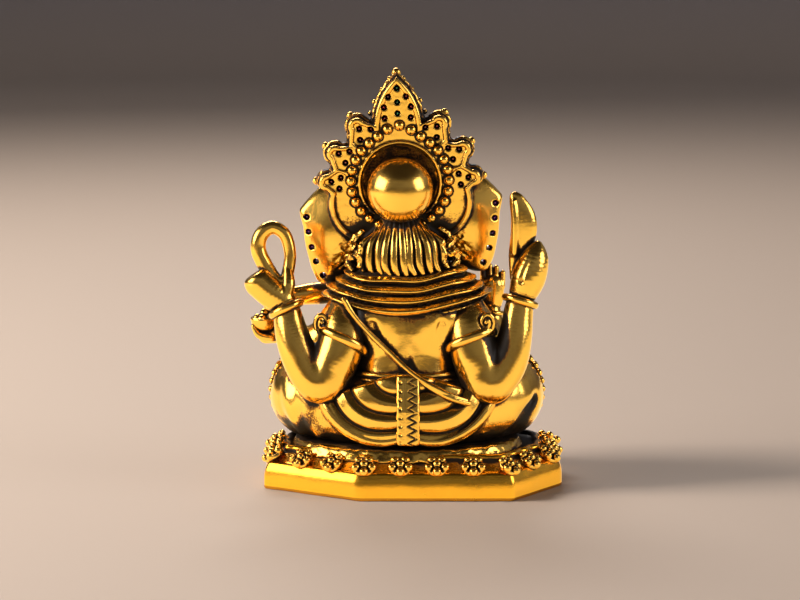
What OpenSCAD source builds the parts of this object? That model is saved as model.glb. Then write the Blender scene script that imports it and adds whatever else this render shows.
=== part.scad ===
// Small seated elephant-headed idol: plated castings pinned together on an octagonal plinth.
// Millimetres. +Z is up, the face looks along -Y and the back along +Y.
// The origin is on the resting face, under the middle of the back. +X is the idol's own left.

/* [Plinth] */
// Width of the plinth from side to side
plinth_w = 46.4; // [45:0.2:48]
// Depth of the plinth from front to back
plinth_d = 32; // [31:0.2:34]
// Height of the plinth's upright side
plinth_side_h = 3.8; // [3.2:0.1:4]
// Height of the plinth's flat top
plinth_top_h = 5.9; // [5.6:0.1:6]
// How far the sloping flower band runs in from the side
band_w = 3.2; // [3:0.1:3.6]
// Florets round the sloping band
floret_count = 22; // [18:1:24]

/* [Seat] */
// Height of the seat pad's top above the surface
seat_top_h = 7.2; // [7:0.1:7.4]
// Half the width over the folded knees
knee_reach = 21.4; // [21:0.1:22]

/* [Head] */
// Sideways tilt of the head and crown, in degrees
head_tilt = 2; // [0:0.5:4]
// Sideways shift of the head and crown towards the idol's left, in millimetres
head_shift = 0.6; // [0.2:0.1:0.9]
// Height of the neck, about which the head tilts
neck_h = 33; // [32.5:0.1:33.5]
// Thickness of the ears
ear_t = 1.3; // [1.2:0.1:1.6]

/* [Crown] */
// Height of the crown's centre, where the round bun sits
crown_h = 47.4; // [47:0.1:47.6]
// Radius of the round bun behind the crown
bun_r = 5.5; // [5.2:0.1:5.6]
// Radius of the ring of beads round the bun
bead_ring_r = 7.55; // [7.4:0.05:7.7]
// Radius of one bead
bead_r = 0.66; // [0.5:0.02:0.7]
// Beads in the ring
bead_count = 25; // [21:1:25]
// Radius of the holes behind the crown's and the ears' stones
setting_r = 0.46; // [0.4:0.02:0.5]

/* [Ornaments] */
// Thickness of the bracelets and armlets
band_t = 1.15; // [1:0.05:1.3]
// Radius of a set stone
stone_r = 0.75; // [0.6:0.05:0.8]

/* [Hidden] */

gold = [0.93, 0.66, 0.2];
ruby = [0.7, 0.05, 0.1];
emerald = [0.03, 0.5, 0.3];
amethyst = [0.4, 0.05, 0.4];

plinth_x = -1;              // the plinth stands this far off the idol's middle
recess_d = 1.1;             // depth of the recess under the plinth
recess_rim = 2.6;           // width of the rim round that recess
peg_r = 1.25;               // pegs that hold the body to the plinth
peg_gap = 0.03;             // clearance round every peg
peg_x = 7.5;
wrist_peg_r = 0.7;
crown_y = 1.9;              // the crown plate's rear face
plate_t = 1.7;              // thickness of the plate's rear layer, inside the rim
flange_t = 1.9;             // thickness of the wider front layer
flange_out = 0.85;          // how far the front layer stands out past the rear one
rim_w = 0.6;                // width of the raised rim on the plate's rear face
rim_t = 0.4;                // height of that rim
bun_y = 4.4;                // the bun's centre
dish_r = 6.4;               // the hollow round the bun
dish_floor_y = -0.4;
first_floret = 0.35;        // from the rear face's corner to the first floret
band_slope = atan((plinth_top_h - plinth_side_h) / band_w);

// ---------------------------------------------------------------- shared shapes

function unit(v) = v / norm(v);
function flip(path) = [for (p = path) [-p[0], p[1], p[2]]];
function mix(a, b, t) = a + (b - a) * t;

// Points on a smooth curve through a list of points, with steps points to each span.
function spline(p, steps) = let(n = len(p)) [
    for (i = [0:n - 2], s = [0:steps - 1]) let(
        a = p[max(i - 1, 0)], b = p[i], c = p[i + 1], d = p[min(i + 2, n - 1)], t = s / steps
    ) (2 * b + (c - a) * t + (2 * a - 5 * b + 4 * c - d) * t * t + (3 * b - a - 3 * c + d) * t * t * t) / 2,
    p[n - 1]
];

// A round-ended limb through [x, y, z, radius] points. flat squeezes its section along ref.
module limb(points, sides = 12, ref = [0, 1, 0], flat = 1) {
    n = len(points);
    at = [for (p = points) [p[0], p[1], p[2]]];
    along = [for (i = [0:n - 1]) unit(at[min(i + 1, n - 1)] - at[max(i - 1, 0)])];
    cap = 55;
    centres = concat(
        [at[0] - along[0] * points[0][3] * sin(cap)], at, [at[n - 1] + along[n - 1] * points[n - 1][3] * sin(cap)]
    );
    radii = concat([points[0][3] * cos(cap)], [for (p = points) p[3]], [points[n - 1][3] * cos(cap)]);
    dirs = concat([along[0]], along, [along[n - 1]]);
    rings = n + 2;
    skin(
        [for (i = [0:rings - 1]) let(u = unit(cross(ref, dirs[i])), v = cross(dirs[i], u))
            [for (k = [0:sides - 1])
                centres[i] + radii[i] * (cos(360 * k / sides) * u + flat * sin(360 * k / sides) * v)]],
        at[0] - along[0] * points[0][3], at[n - 1] + along[n - 1] * points[n - 1][3]
    );
}

// A closed solid over a list of equal rings, with a point at each end.
module skin(rings, first, last) {
    m = len(rings);
    k = len(rings[0]);
    points = concat([first], [for (r = rings) each r], [last]);
    faces = concat(
        [for (j = [0:k - 1]) [0, 1 + j, 1 + (j + 1) % k]],
        [for (i = [0:m - 2], j = [0:k - 1])
            let(a = 1 + i * k + j, b = 1 + i * k + (j + 1) % k) each [[a, a + k, b + k], [a, b + k, b]]],
        [for (j = [0:k - 1]) [m * k + 1, 1 + (m - 1) * k + (j + 1) % k, 1 + (m - 1) * k + j]]
    );
    polyhedron(points, faces);
}

// A closed loop of round cord through a list of points.
module loop_cord(points, r, sides = 10, ref = [0, 1, 0]) {
    n = len(points);
    rings = [for (i = [0:n - 1]) let(
        t = unit(points[(i + 1) % n] - points[(i + n - 1) % n]), u = unit(cross(ref, t)), v = cross(t, u)
    ) [for (k = [0:sides - 1]) points[i] + r * (cos(360 * k / sides) * u + sin(360 * k / sides) * v)]];
    polyhedron(
        [for (g = rings) each g],
        [for (i = [0:n - 1], k = [0:sides - 1]) let(
            a = i * sides + k, b = i * sides + (k + 1) % sides,
            c = ((i + 1) % n) * sides + k, d = ((i + 1) % n) * sides + (k + 1) % sides
        ) each [[a, c, d], [a, d, b]]]
    );
}

// A body lofted through [z, middle y, half width, half depth] sections.
module loft(sections, sides = 20) {
    n = len(sections);
    skin(
        [for (s = sections) [for (k = [0:sides - 1]) [
            s[2] * cos(360 * k / sides), s[1] + s[3] * sin(360 * k / sides), s[0]]]],
        [0, sections[0][1], sections[0][0] - 0.4], [0, sections[n - 1][1], sections[n - 1][0] + 0.4]
    );
}

module egg(centre, radii, turn = [0, 0, 0], detail = 20) {
    translate(centre) rotate(turn) scale(radii) sphere(r = 1, $fn = detail);
}

// One sculpted casting: everything inside becomes a single mesh, at its own size.
module sculpt() {
    color(gold) resize([0, 0, 0]) children();
}

// The head, ears and crown all lean together about the neck.
module head_pose() {
    translate([head_shift, 0, neck_h]) rotate([0, head_tilt, 0]) translate([0, 0, -neck_h]) children();
}

// Places children, built about +Z, at a point with their +Z along a direction.
module aim(at, dir) {
    d = unit(dir);
    translate(at) rotate([0, acos(d[2]), atan2(d[1], d[0])]) children();
}

// A plain round band about +Z, with a plain bore if one is given.
module band(r, t = band_t, bore = 0) {
    difference() {
        rotate_extrude($fn = bore > 0 ? 48 : 20) translate([r, 0]) circle(d = t, $fn = bore > 0 ? 24 : 8);
        if (bore > 0) cylinder(r = bore, h = 4, center = true, $fn = 48);
    }
}

// A cut stone with its table towards +Z and its point in the hole behind.
module stone(r = stone_r, point = 1.1) {
    cylinder(r = r, h = 0.35, $fn = 24);
    translate([0, 0, 0.35]) cylinder(r1 = r, r2 = r * 0.6, h = 0.35, $fn = 24);
    translate([0, 0, -point]) cylinder(r1 = 0.08, r2 = setting_r - 0.04, h = point, $fn = 24);
}

// ---------------------------------------------------------------- plinth

// Corners of the plinth: the rear face is off centre, and the front one is centred.
plinth_corners = [
    [plinth_w / 2, 7.1], [8.4, plinth_d / 2], [-15.1, plinth_d / 2], [-plinth_w / 2, 5.1],
    [-plinth_w / 2, -6.5], [-12.4, -plinth_d / 2], [12.4, -plinth_d / 2], [plinth_w / 2, -6.5]
];

module plinth_outline(inset = 0) {
    translate([plinth_x, 0]) offset(delta = -inset) polygon(plinth_corners);
}

module pegs_at(r, z0, z1) {
    for (side = [-1, 1]) translate([side * peg_x, 2, z0]) cylinder(r = r, h = z1 - z0, $fn = 32);
}

module plinth() {
    skin_t = 0.02;
    color(gold) difference() {
        union() {
            linear_extrude(plinth_side_h) plinth_outline();
            hull() {
                translate([0, 0, plinth_side_h - skin_t]) linear_extrude(skin_t) plinth_outline();
                translate([0, 0, plinth_top_h - skin_t]) linear_extrude(skin_t) plinth_outline(band_w);
            }
        }
        translate([0, 0, -1]) linear_extrude(1 + recess_d) plinth_outline(recess_rim);
        pegs_at(peg_r + peg_gap, recess_d + 1, plinth_top_h + 1);
    }
}

// The flowers stand along the middle of the band, counted round from the rear face.
function corner(i) = plinth_corners[(i + 9) % 8];
function inward(i) = let(d = unit(corner(i + 1) - corner(i))) [-d[1], d[0]];
function mid_corner(i) = let(a = inward(i - 1), b = inward(i)) corner(i) + (a + b) / (1 + a * b) * band_w / 2;
function edge_length(i) = norm(mid_corner(i + 1) - mid_corner(i));
function edge_start(i) = i == 0 ? 0 : edge_start(i - 1) + edge_length(i - 1);

module floret() {
    petal_r = 0.85;
    linear_extrude(0.8) union() {
        circle(r = 1, $fn = 24);
        for (k = [0:4]) rotate(72 * k) translate([1.25, 0]) circle(r = petal_r, $fn = 24);
    }
    translate([0, 0, 0.75]) sphere(r = 0.7, $fn = 24);
}

module plinth_florets() {
    perimeter = edge_start(8);
    color(gold) for (n = [0:floret_count - 1]) {
        s = first_floret + n * perimeter / floret_count;
        i = max([for (j = [0:7]) edge_start(j) <= s ? j : 0]);
        p = mid_corner(i) + unit(mid_corner(i + 1) - mid_corner(i)) * (s - edge_start(i));
        translate([plinth_x + p[0], p[1], (plinth_side_h + plinth_top_h) / 2 + 0.1])
            rotate([0, 0, atan2(-inward(i)[1], -inward(i)[0])]) rotate([0, band_slope, 0]) floret();
    }
}

module seat_shape() {
    translate([0, 0.3, plinth_top_h]) scale([1, 0.7, 1])
        cylinder(r1 = 18.4, r2 = 17.4, h = seat_top_h - plinth_top_h, $fn = 48);
}

module seat_pad() {
    color(gold) difference() {
        seat_shape();
        pegs_at(peg_r + peg_gap, 0, 20);
    }
}

module base_pegs() {
    color(gold) pegs_at(peg_r, recess_d + 1, 12);
}

// ---------------------------------------------------------------- body

module torso_shape() {
    loft([
        [seat_top_h + 0.4, 0, 10.6, 8.6], [10, -0.6, 11.8, 10.4], [13, -1.2, 12.2, 11.4], [16, -1.6, 11.8, 11.5],
        [19, -1.5, 10.6, 10.9], [21.5, -1.0, 9.8, 10.2], [24.5, -0.4, 9.6, 9.2], [27.5, 0.1, 9.7, 8.1],
        [30, 0.4, 9.0, 6.9], [32, 0.7, 6.6, 5.6], [33.6, 0.8, 4.8, 4.6]
    ]);
}

module torso() {
    sculpt() difference() {
        torso_shape();
        pegs_at(peg_r + peg_gap, 0, 12);
        translate([0, 0.8, 28]) cylinder(r = peg_r + peg_gap, h = 10, $fn = 24);
        translate([0, 0, seat_top_h - 5]) cube([60, 60, 10], center = true);
    }
}

hip_points = [[-8, 3.2, 12.2, 6.4], [0, 4.4, 12.2, 6.6], [8, 3.2, 12.2, 6.4]];
thigh_points = [[7, 3.0, 12.6, 6.2], [11.8, 1.2, 13.4, 6.8], [14.2, -2.4, 13.8, 7.1], [14.3, -4.6, 13.4, 6.4]];
shin_points = [[14.8, -5.4, 11.4, 5.0], [8.5, -10.6, 10.4, 4.0], [1, -12.2, 9.8, 3.0]];

module legs_shape() {
    limb(hip_points, 14);
    egg([0, -0.2, 10.4], [18.2, 10.4, 4.2], detail = 24);
    for (side = [0, 1]) mirror([side, 0, 0]) {
        limb(thigh_points, 14, [0, 0, 1]);
        limb(shin_points, 12, [0, 0, 1]);
    }
}

module folded_legs() {
    sculpt() difference() {
        legs_shape();
        torso_shape();
        belt_shape();
        translate([0, 0, seat_top_h - 5]) cube([60, 60, 10], center = true);
        pegs_at(peg_r + peg_gap, 0, 12);
    }
}

foot_points = [[6.0, -12.6, 9.8, 2.0], [2.0, -14.1, 9.2, 1.9], [-1.4, -14.3, 8.9, 1.5]];

module foot(side) {
    sculpt() difference() {
        mirror([side, 0, 0]) translate([3.4, 0, 0]) limb(foot_points, 10, [0, 0, 1]);
        legs_shape();
        torso_shape();
    }
}

module left_foot() { foot(0); }
module right_foot() { foot(1); }

module anklets() {
    color(gold) for (side = [0, 1]) mirror([side, 0, 0]) resize([0, 0, 0]) difference() {
        aim([9.4, -11.4, 10.1], [0.86, 0.5, 0.1]) band(3.5);
        legs_shape();
        translate([3.4, 0, 0]) limb(foot_points, 10, [0, 0, 1]);
        torso_shape();
    }
}

// The cloth over the hips: a bulging panel with an outer hem and folds, between the sash and the hip.
panel_outline = [
    [-1, 18.6], [1.6, 18.6], [12.6, 14.8], [13.3, 13.4], [12.6, 11.2], [10.8, 9.2], [8.4, 8.2], [4.6, 7.8], [-1, 8.0]
];
hem_points = [
    [13.3, 7.9, 14.0], [12.7, 8.9, 11.9], [10.8, 10.3, 9.5], [8.4, 11.1, 8.5], [4.6, 11.8, 8.1], [1.8, 12.0, 8.3]
];
fold_levels = [0.34, 0.57, 0.79];

function panel_y(x, z) = 1.5 + 10.7 * sqrt(max(1 - pow(x / 17.5, 2) - pow((z - 11) / 12, 2), 0.05));
function fold_point(level, a) = let (x = 1.4 + 11.8 * level * cos(a), z = 18.4 - 10.2 * level * sin(a))
    [x, panel_y(x, z) + 0.1, z, 0.62];

module drape_shape() {
    intersection() {
        egg([0, 1.5, 11], [17.5, 10.6, 12], detail = 28);
        union() for (side = [0, 1]) mirror([side, 0, 0])
            rotate([90, 0, 0]) translate([0, 0, -20]) linear_extrude(18) polygon(panel_outline);
    }
    for (side = [0, 1]) mirror([side, 0, 0]) {
        limb([for (p = hem_points) [p[0], p[1], p[2], 0.8]], 8);
        for (level = fold_levels) limb([for (a = [22:17:90]) fold_point(level, a)], 6);
    }
}

module drape(side) {
    sculpt() difference() {
        drape_shape();
        torso_shape();
        legs_shape();
        sash_shape();
        belt_shape();
        translate([0, 0, seat_top_h - 5]) cube([60, 60, 10], center = true);
        mirror([side, 0, 0]) translate([-38.8, -20, 0]) cube([40, 60, 60]);
    }
}

module left_drape() { drape(0); }
module right_drape() { drape(1); }

module belt_shape() {
    translate([0, -1.3, 17.9]) rotate_extrude($fn = 32) translate([11.2, 0]) circle(r = 0.8, $fn = 8);
}

module waist_belt() {
    sculpt() difference() {
        belt_shape();
        torso_shape();
        sash_shape();
    }
}

module sash_shape() {
    hull() for (x = [-1.2, 1.2]) {
        translate([x, 9.8, 18.6]) sphere(r = 0.75, $fn = 16);
        translate([x, 12.1, 13.5]) sphere(r = 0.75, $fn = 16);
        translate([x, 12.5, 8.6]) sphere(r = 0.75, $fn = 16);
        translate([x, 10.0, 8.6]) sphere(r = 0.75, $fn = 16);
    }
}

module back_sash() {
    sculpt() difference() {
        sash_shape();
        torso_shape();
        legs_shape();
    }
}

module knee_borders() {
    beads = 11;
    color(gold) for (side = [-1, 1], row = [0, 1], n = [0:beads - 1]) {
        a = mix(-20, 86, n / (beads - 1));
        translate([side * (14.3 + (7.0 - row * 0.1) * cos(a)), -3.0 - row * 1.25, 13.7 + 7.0 * sin(a)])
            sphere(r = 0.55, $fn = 16);
    }
}

// ---------------------------------------------------------------- arms and hands

rear_left_path = [
    [8.2, 3.2, 29.2, 3.8], [9.4, 5.4, 25.4, 3.9], [10.9, 6.8, 20.6, 3.9], [12.2, 7.3, 17.4, 3.5],
    [14.2, 7.0, 18.5, 3.4], [16.2, 6.2, 22.6, 3.1], [18.3, 5.1, 27.2, 2.15]
];
rear_right_path = [
    [-8.2, 3.2, 29.2, 3.8], [-9.3, 5.4, 25.4, 3.9], [-10.6, 6.8, 20.6, 3.9], [-12.0, 7.3, 17.2, 3.5],
    [-14.0, 7.0, 18.8, 3.4], [-15.6, 6.2, 23.0, 3.1], [-17.2, 5.1, 28.2, 2.15]
];
front_left_path = [
    [7.4, -2.2, 28.8, 3.3], [11.0, -4.2, 24.4, 3.0], [13.4, -5.2, 21.2, 2.7], [16.6, -6.2, 21.0, 2.4],
    [19.4, -6.6, 22.3, 1.7]
];
front_right_path = [
    [-7.2, -2.2, 28.8, 3.2], [-11.0, -4.2, 24.0, 3.0], [-12.6, -5.6, 20.6, 2.7], [-13.2, -7.2, 22.4, 2.3],
    [-13.4, -8.0, 25.4, 1.7]
];

left_wrist = [18.6, 5.0, 27.9];
left_reach = [2.2, -1.0, 4.6];
right_wrist = [-17.45, 5.0, 29.1];
right_reach = [-1.5, -1.0, 5.0];

module arm(path, others = false) {
    sculpt() difference() {
        limb(path, 14);
        torso_shape();
        legs_shape();
        drape_shape();
        if (others) children();
    }
}

module rear_left_arm() {
    sculpt() difference() {
        limb(rear_left_path, 14);
        torso_shape();
        drape_shape();
        aim(left_wrist, left_reach) translate([0, 0, -4]) cylinder(r = wrist_peg_r + peg_gap, h = 9, $fn = 16);
        aim(left_wrist, left_reach) translate([-5, -5, 0.4]) cube([10, 10, 10]);
    }
}

module rear_right_arm() {
    sculpt() difference() {
        limb(rear_right_path, 14);
        torso_shape();
        drape_shape();
        aim(right_wrist, right_reach) translate([0, 0, -4]) cylinder(r = wrist_peg_r + peg_gap, h = 9, $fn = 16);
        aim(right_wrist, right_reach) translate([-5, -5, 0.4]) cube([10, 10, 10]);
    }
}

front_left_wrist = [19.0, -6.55, 22.1];
front_left_reach = [2.6, -0.4, 0.9];
front_right_wrist = [-13.35, -7.9, 25.2];
front_right_reach = [-0.1, -0.4, 2.6];

module front_arm(path, rear_path, wrist, reach) {
    sculpt() difference() {
        limb(path, 12);
        torso_shape();
        legs_shape();
        limb(rear_path, 14);
        aim(wrist, reach) translate([0, 0, -3]) cylinder(r = wrist_peg_r + peg_gap, h = 9, $fn = 16);
        aim(wrist, reach) translate([-5, -5, 0.2]) cube([10, 10, 10]);
    }
}

module front_left_arm() { front_arm(front_left_path, rear_left_path, front_left_wrist, front_left_reach); }
module front_right_arm() { front_arm(front_right_path, rear_right_path, front_right_wrist, front_right_reach); }

module wrist_pegs() {
    color(gold) {
        aim(left_wrist, left_reach) translate([0, 0, -3]) cylinder(r = wrist_peg_r, h = 5, $fn = 16);
        aim(right_wrist, right_reach) translate([0, 0, -3]) cylinder(r = wrist_peg_r, h = 5, $fn = 16);
        aim(front_left_wrist, front_left_reach) translate([0, 0, -2.6]) cylinder(r = wrist_peg_r, h = 4, $fn = 16);
        aim(front_right_wrist, front_right_reach) translate([0, 0, -2.6]) cylinder(r = wrist_peg_r, h = 4, $fn = 16);
    }
}

module rear_left_hand_shape() {
    limb([[19.0, 4.8, 28.8, 1.95], [20.6, 4.5, 30.3, 2.35], [22.6, 4.1, 31.8, 2.4]], 12);
    limb([[19.0, 5.2, 29.4, 1.2], [18.3, 4.8, 31.6, 1.1], [18.4, 3.8, 33.8, 0.8]], 8);
}

module rear_left_hand() {
    sculpt() difference() {
        rear_left_hand_shape();
        noose_shape();
        aim(left_wrist, left_reach) {
            translate([0, 0, -2]) cylinder(r = wrist_peg_r + peg_gap, h = 4.2, $fn = 16);
            translate([-5, -5, -9.6]) cube([10, 10, 10]);
            band(2.4);
        }
    }
}

module rear_right_hand_shape() {
    limb([[-17.7, 4.8, 30.0, 1.9], [-18.5, 4.5, 32.2, 2.6], [-19.5, 4.2, 34.8, 2.5], [-20.2, 4.0, 36.8, 1.3]], 12);
    limb([[-17.2, 3.6, 31.6, 1.2], [-16.8, 2.6, 34.0, 1.1]], 8);
}

module rear_right_hand() {
    sculpt() difference() {
        rear_right_hand_shape();
        axe_shape();
        aim(right_wrist, right_reach) {
            translate([0, 0, -2]) cylinder(r = wrist_peg_r + peg_gap, h = 4.2, $fn = 16);
            translate([-5, -5, -9.6]) cube([10, 10, 10]);
            band(2.4);
        }
    }
}

noose_points = [
    [20.8, 2.6, 40.4], [22.6, 2.8, 39.2], [23.2, 3.0, 37.0], [22.2, 3.3, 34.4], [20.3, 4.0, 31.9],
    [18.9, 4.0, 31.9], [18.2, 3.4, 33.8], [18.0, 3.0, 36.4], [18.9, 2.7, 39.2]
];

module noose_shape() {
    loop_cord([for (p = spline(concat(noose_points, [noose_points[0]]), 3)) p], 0.95, 8);
}

module noose() {
    closed = concat([noose_points[8]], noose_points, [noose_points[0], noose_points[1]]);
    path = spline(closed, 3);
    color(gold) loop_cord([for (i = [3:3 * 10 - 1]) path[i]], 0.95, 8);
}

module axe_shape() {
    limb([[-17.4, 3.4, 34.0, 0.9], [-17.6, 3.2, 37.0, 1.7], [-18.0, 3.0, 40.4, 2.2], [-17.2, 2.9, 43.6, 1.5],
        [-16.3, 2.9, 45.4, 0.6]], 10, flat = 0.55);
}

module axe() {
    sculpt() axe_shape();
}

bowl_at = [22.6, -6.6, 24.3];

module sweet_bowl() {
    color(gold) translate(bowl_at) rotate_extrude($fn = 40)
        polygon([[0, -2.0], [1.2, -1.9], [2.0, -1.0], [2.35, 0.2], [2.05, 0.2], [1.7, -0.8], [1.0, -1.45], [0, -1.55]]);
}

module sweets() {
    color(gold) {
        for (k = [0:4]) translate(bowl_at + [1.0 * cos(72 * k), 1.0 * sin(72 * k), 0.1])
            sphere(r = 0.55, $fn = 20);
        translate(bowl_at + [0, 0, 0.95]) sphere(r = 0.62, $fn = 20);
    }
}

module front_left_hand() {
    sculpt() difference() {
        limb([[19.4, -6.6, 22.3, 1.5], [20.8, -6.8, 22.3, 1.5], [22.4, -6.7, 21.9, 1.4], [24.0, -6.6, 23.1, 0.8]],
            10);
        translate(bowl_at) sphere(r = 2.5, $fn = 24);
        aim(front_left_wrist, front_left_reach) {
            translate([0, 0, -2]) cylinder(r = wrist_peg_r + peg_gap, h = 3.6, $fn = 16);
            translate([-5, -5, -9.8]) cube([10, 10, 10]);
            band(1.85, 0.9);
        }
    }
}

module front_right_hand() {
    sculpt() difference() {
        union() {
            limb([[-13.4, -8.1, 26.0, 1.4], [-13.5, -8.4, 28.2, 1.9], [-13.7, -8.4, 30.2, 1.7]], 10);
            for (f = [0:3]) limb([[-12.4 - 0.85 * f, -8.5, 29.8, 0.6],
                [-12.4 - 0.95 * f, -8.7, 32.4 - abs(f - 1) * 0.35, 0.5]], 8);
            limb([[-12.2, -8.6, 27.6, 0.7], [-11.2, -9.2, 29.4, 0.5]], 8);
        }
        aim(front_right_wrist, front_right_reach) {
            translate([0, 0, -2]) cylinder(r = wrist_peg_r + peg_gap, h = 3.6, $fn = 16);
            translate([-5, -5, -9.8]) cube([10, 10, 10]);
            band(1.85, 0.9);
        }
    }
}

// ---------------------------------------------------------------- bands, cloth and cords worn

module armlet(at, dir, turn) {
    bore = 3.8;
    color(gold) aim(at, dir) difference() {
        union() {
            band(4.1, bore = bore);
            rotate(turn) translate([4.2, 0, 0]) sphere(r = 0.95, $fn = 24);
        }
        cylinder(r = bore, h = 4, center = true, $fn = 48);
    }
}

module left_armlet() { armlet([9.9, 6.0, 23.0], [2.4, 1.5, -4.8], 150); }
module right_armlet() { armlet([-9.8, 6.0, 23.1], [-2.2, 1.5, -4.8], 30); }

module left_bracelet() { color(gold) aim(left_wrist, left_reach) band(2.4, bore = 2.05); }
module right_bracelet() { color(gold) aim(right_wrist, right_reach) band(2.4, bore = 2.05); }

module front_bracelets() {
    color(gold) {
        aim(front_left_wrist, front_left_reach) band(1.85, 0.9, 1.6);
        aim(front_right_wrist, front_right_reach) band(1.85, 0.9, 1.6);
    }
}

// Folds of the shawl across the back, from shoulder to shoulder: [end half width, end z, middle z, radius].
shawl_folds = [[9.6, 33.4, 32.8, 0.85], [11.2, 32.2, 31.0, 1.0], [11.7, 31.2, 29.6, 0.8], [11.9, 30.2, 28.3, 0.95]];

module shawl_shape() {
    loft([[27.8, 0.5, 11.4, 8.6], [29.4, 0.6, 12.2, 8.6], [31, 0.6, 11.9, 7.9], [32.4, 0.8, 9.6, 6.8],
        [33.6, 0.9, 6.4, 5.6]], 18);
    for (f = shawl_folds) limb([for (a = [-115:23:115]) [
        f[0] * sin(a), 0.6 + mix(7.3, 8.6, (33 - f[2]) / 5) * cos(a) * (1 - 0.12 * pow(sin(a), 2)),
        mix(f[2], f[1], pow(sin(a), 2)), f[3]]], 8, [0, 0, 1]);
}

module shawl() {
    sculpt() difference() {
        shawl_shape();
        torso_shape();
        limb(rear_left_path, 14);
        limb(rear_right_path, 14);
        limb(front_left_path, 12);
        limb(front_right_path, 12);
        head_pose() head_shape();
        head_pose() hair_shape();
    }
}

thread_points = [
    [9.2, 8.6, 29.3, 0.55], [6.0, 9.1, 25.3, 0.55], [2.6, 9.6, 21.9, 0.55], [-1.5, 10.8, 18.2, 0.55],
    [-6.2, 11.7, 15.6, 0.55], [-9.4, 11.0, 14.4, 0.55]
];

module sacred_thread() {
    sculpt() difference() {
        limb(thread_points, 8, [0, 1, 0]);
        torso_shape();
        drape_shape();
        sash_shape();
        belt_shape();
        shawl_shape();
        limb(rear_left_path, 14);
        limb(rear_right_path, 14);
    }
}

module necklace() {
    beads = 15;
    color(gold) for (n = [0:beads - 1]) {
        a = mix(-74, 74, n / (beads - 1));
        translate([8.6 * sin(a), -1.0 - 8.7 * cos(a), 31.4 - 5.0 * cos(a)]) sphere(r = 0.55, $fn = 16);
    }
}

module pendant() {
    color(gold) translate([0, -10.6, 24.2]) rotate([78, 0, 0]) cylinder(r1 = 1.5, r2 = 1.1, h = 0.9, $fn = 32);
}

// ---------------------------------------------------------------- head

module head_shape() {
    egg([0, -3.6, 41.4], [8.0, 5.2, 8.2], detail = 18);
    egg([0, -4.8, 40.2], [6.2, 5.4, 6.4], detail = 14);
    egg([0, 0.4, 35.2], [6.8, 6.0, 4.6], detail = 14);
}

module head() {
    sculpt() difference() {
        head_pose() head_shape();
        torso_shape();
        translate([0, 0.8, 28]) cylinder(r = peg_r + peg_gap, h = 11, $fn = 24);
        head_pose() bun_shape();
        head_pose() plate_shape(0);
    }
}

module neck_peg() {
    color(gold) translate([0, 0.8, 29]) cylinder(r = peg_r, h = 9, $fn = 24);
}

trunk_points = [
    [0.6, -8.8, 39.4, 3.2], [1.4, -11.0, 35.6, 2.9], [3.8, -11.8, 32.0, 2.5], [7.8, -11.0, 29.6, 2.1],
    [12.0, -9.6, 28.5, 1.8], [16.2, -8.2, 28.2, 1.55], [19.6, -7.4, 27.6, 1.25], [21.6, -7.0, 26.3, 1.0]
];

module trunk() {
    sculpt() difference() {
        limb(trunk_points, 12, [0.3, 1, 0.3]);
        head_pose() head_shape();
        torso_shape();
        translate(bowl_at + [0, 0, 0.95]) sphere(r = 0.62, $fn = 20);
        limb(front_left_path, 12);
    }
}

module tusk(side, reach) {
    sculpt() difference() {
        head_pose() mirror([side, 0, 0])
            limb([[3.4, -8.6, 36.6, 1.0], [4.2, -10.2, 35.4, 0.8], [4.6, -10.2 - reach, 35.2, 0.4]], 10, [0, 0, 1]);
        head_pose() head_shape();
        limb(trunk_points, 12, [0.3, 1, 0.3]);
    }
}

module left_tusk() { tusk(0, 1.2); }
module right_tusk() { tusk(1, 3.0); }

module eyes() {
    sculpt() difference() {
        head_pose() for (side = [-1, 1]) egg([side * 3.8, -8.7, 41.2], [1.2, 0.9, 0.6], [0, side * 10, 0], 16);
        head_pose() head_shape();
    }
}

// Half-outlines in the plane of each ear, as [across, up].
ear_outline = [
    [6.4, 46.4], [9.8, 47.6], [13.0, 46.4], [15.9, 43.4], [15.6, 40.8], [15.2, 38.0], [14.6, 35.0],
    [13.5, 31.9], [11.8, 31.4], [9.6, 32.0], [8.0, 32.9], [6.4, 34.4]
];
ear_holes = [[14.8, 42.2], [14.6, 39.9], [14.2, 37.5], [13.6, 35.2], [12.6, 32.9]];
ear_at = [8.6, -16.5, 39.4];
ear_r = 14.6;
ear_lift = 0.6;

module ear_shape() {
    intersection() {
        rotate([90, 0, 0]) linear_extrude(40, center = true) offset(r = 0.4, $fn = 16) polygon(ear_outline);
        translate(ear_at) difference() {
            sphere(r = ear_r, $fn = 40);
            sphere(r = ear_r - ear_t, $fn = 40);
            translate([0, -20, 0]) cube([80, 40, 80], center = true);
        }
    }
}

// Depth of the ear's front face at a point of its outline.
function ear_front(p) = ear_at[1] + sqrt(pow(ear_r - ear_t, 2) - pow(p[0] - ear_at[0], 2) - pow(p[1] - ear_at[2], 2));

module ear(side) {
    sculpt() difference() {
        head_pose() translate([0, 0, (side * 2 - 1) * ear_lift]) mirror([side, 0, 0]) difference() {
            ear_shape();
            for (p = ear_holes) translate([p[0], 0, p[1]]) rotate([90, 0, 0])
                cylinder(r = setting_r, h = 30, center = true, $fn = 12);
        }
        head_pose() head_shape();
        shawl_shape();
    }
}

module left_ear() { ear(0); }
module right_ear() { ear(1); }

hair_strands = 12;

module hair_shape() {
    for (n = [0:hair_strands - 1]) {
        u = n / (hair_strands - 1) * 2 - 1;
        limb([
            [u * 3.4, 4.6 - 1.0 * abs(u), 41.6 - 1.4 * abs(u), 0.62], [u * 4.9, 6.2 - 1.6 * u * u, 39.2, 0.72],
            [u * 6.2, 7.1 - 2.0 * u * u, 36.8, 0.76], [u * 6.8 - 0.2, 7.4 - 2.2 * u * u, 34.4, 0.62]
        ], 8);
    }
}

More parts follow.
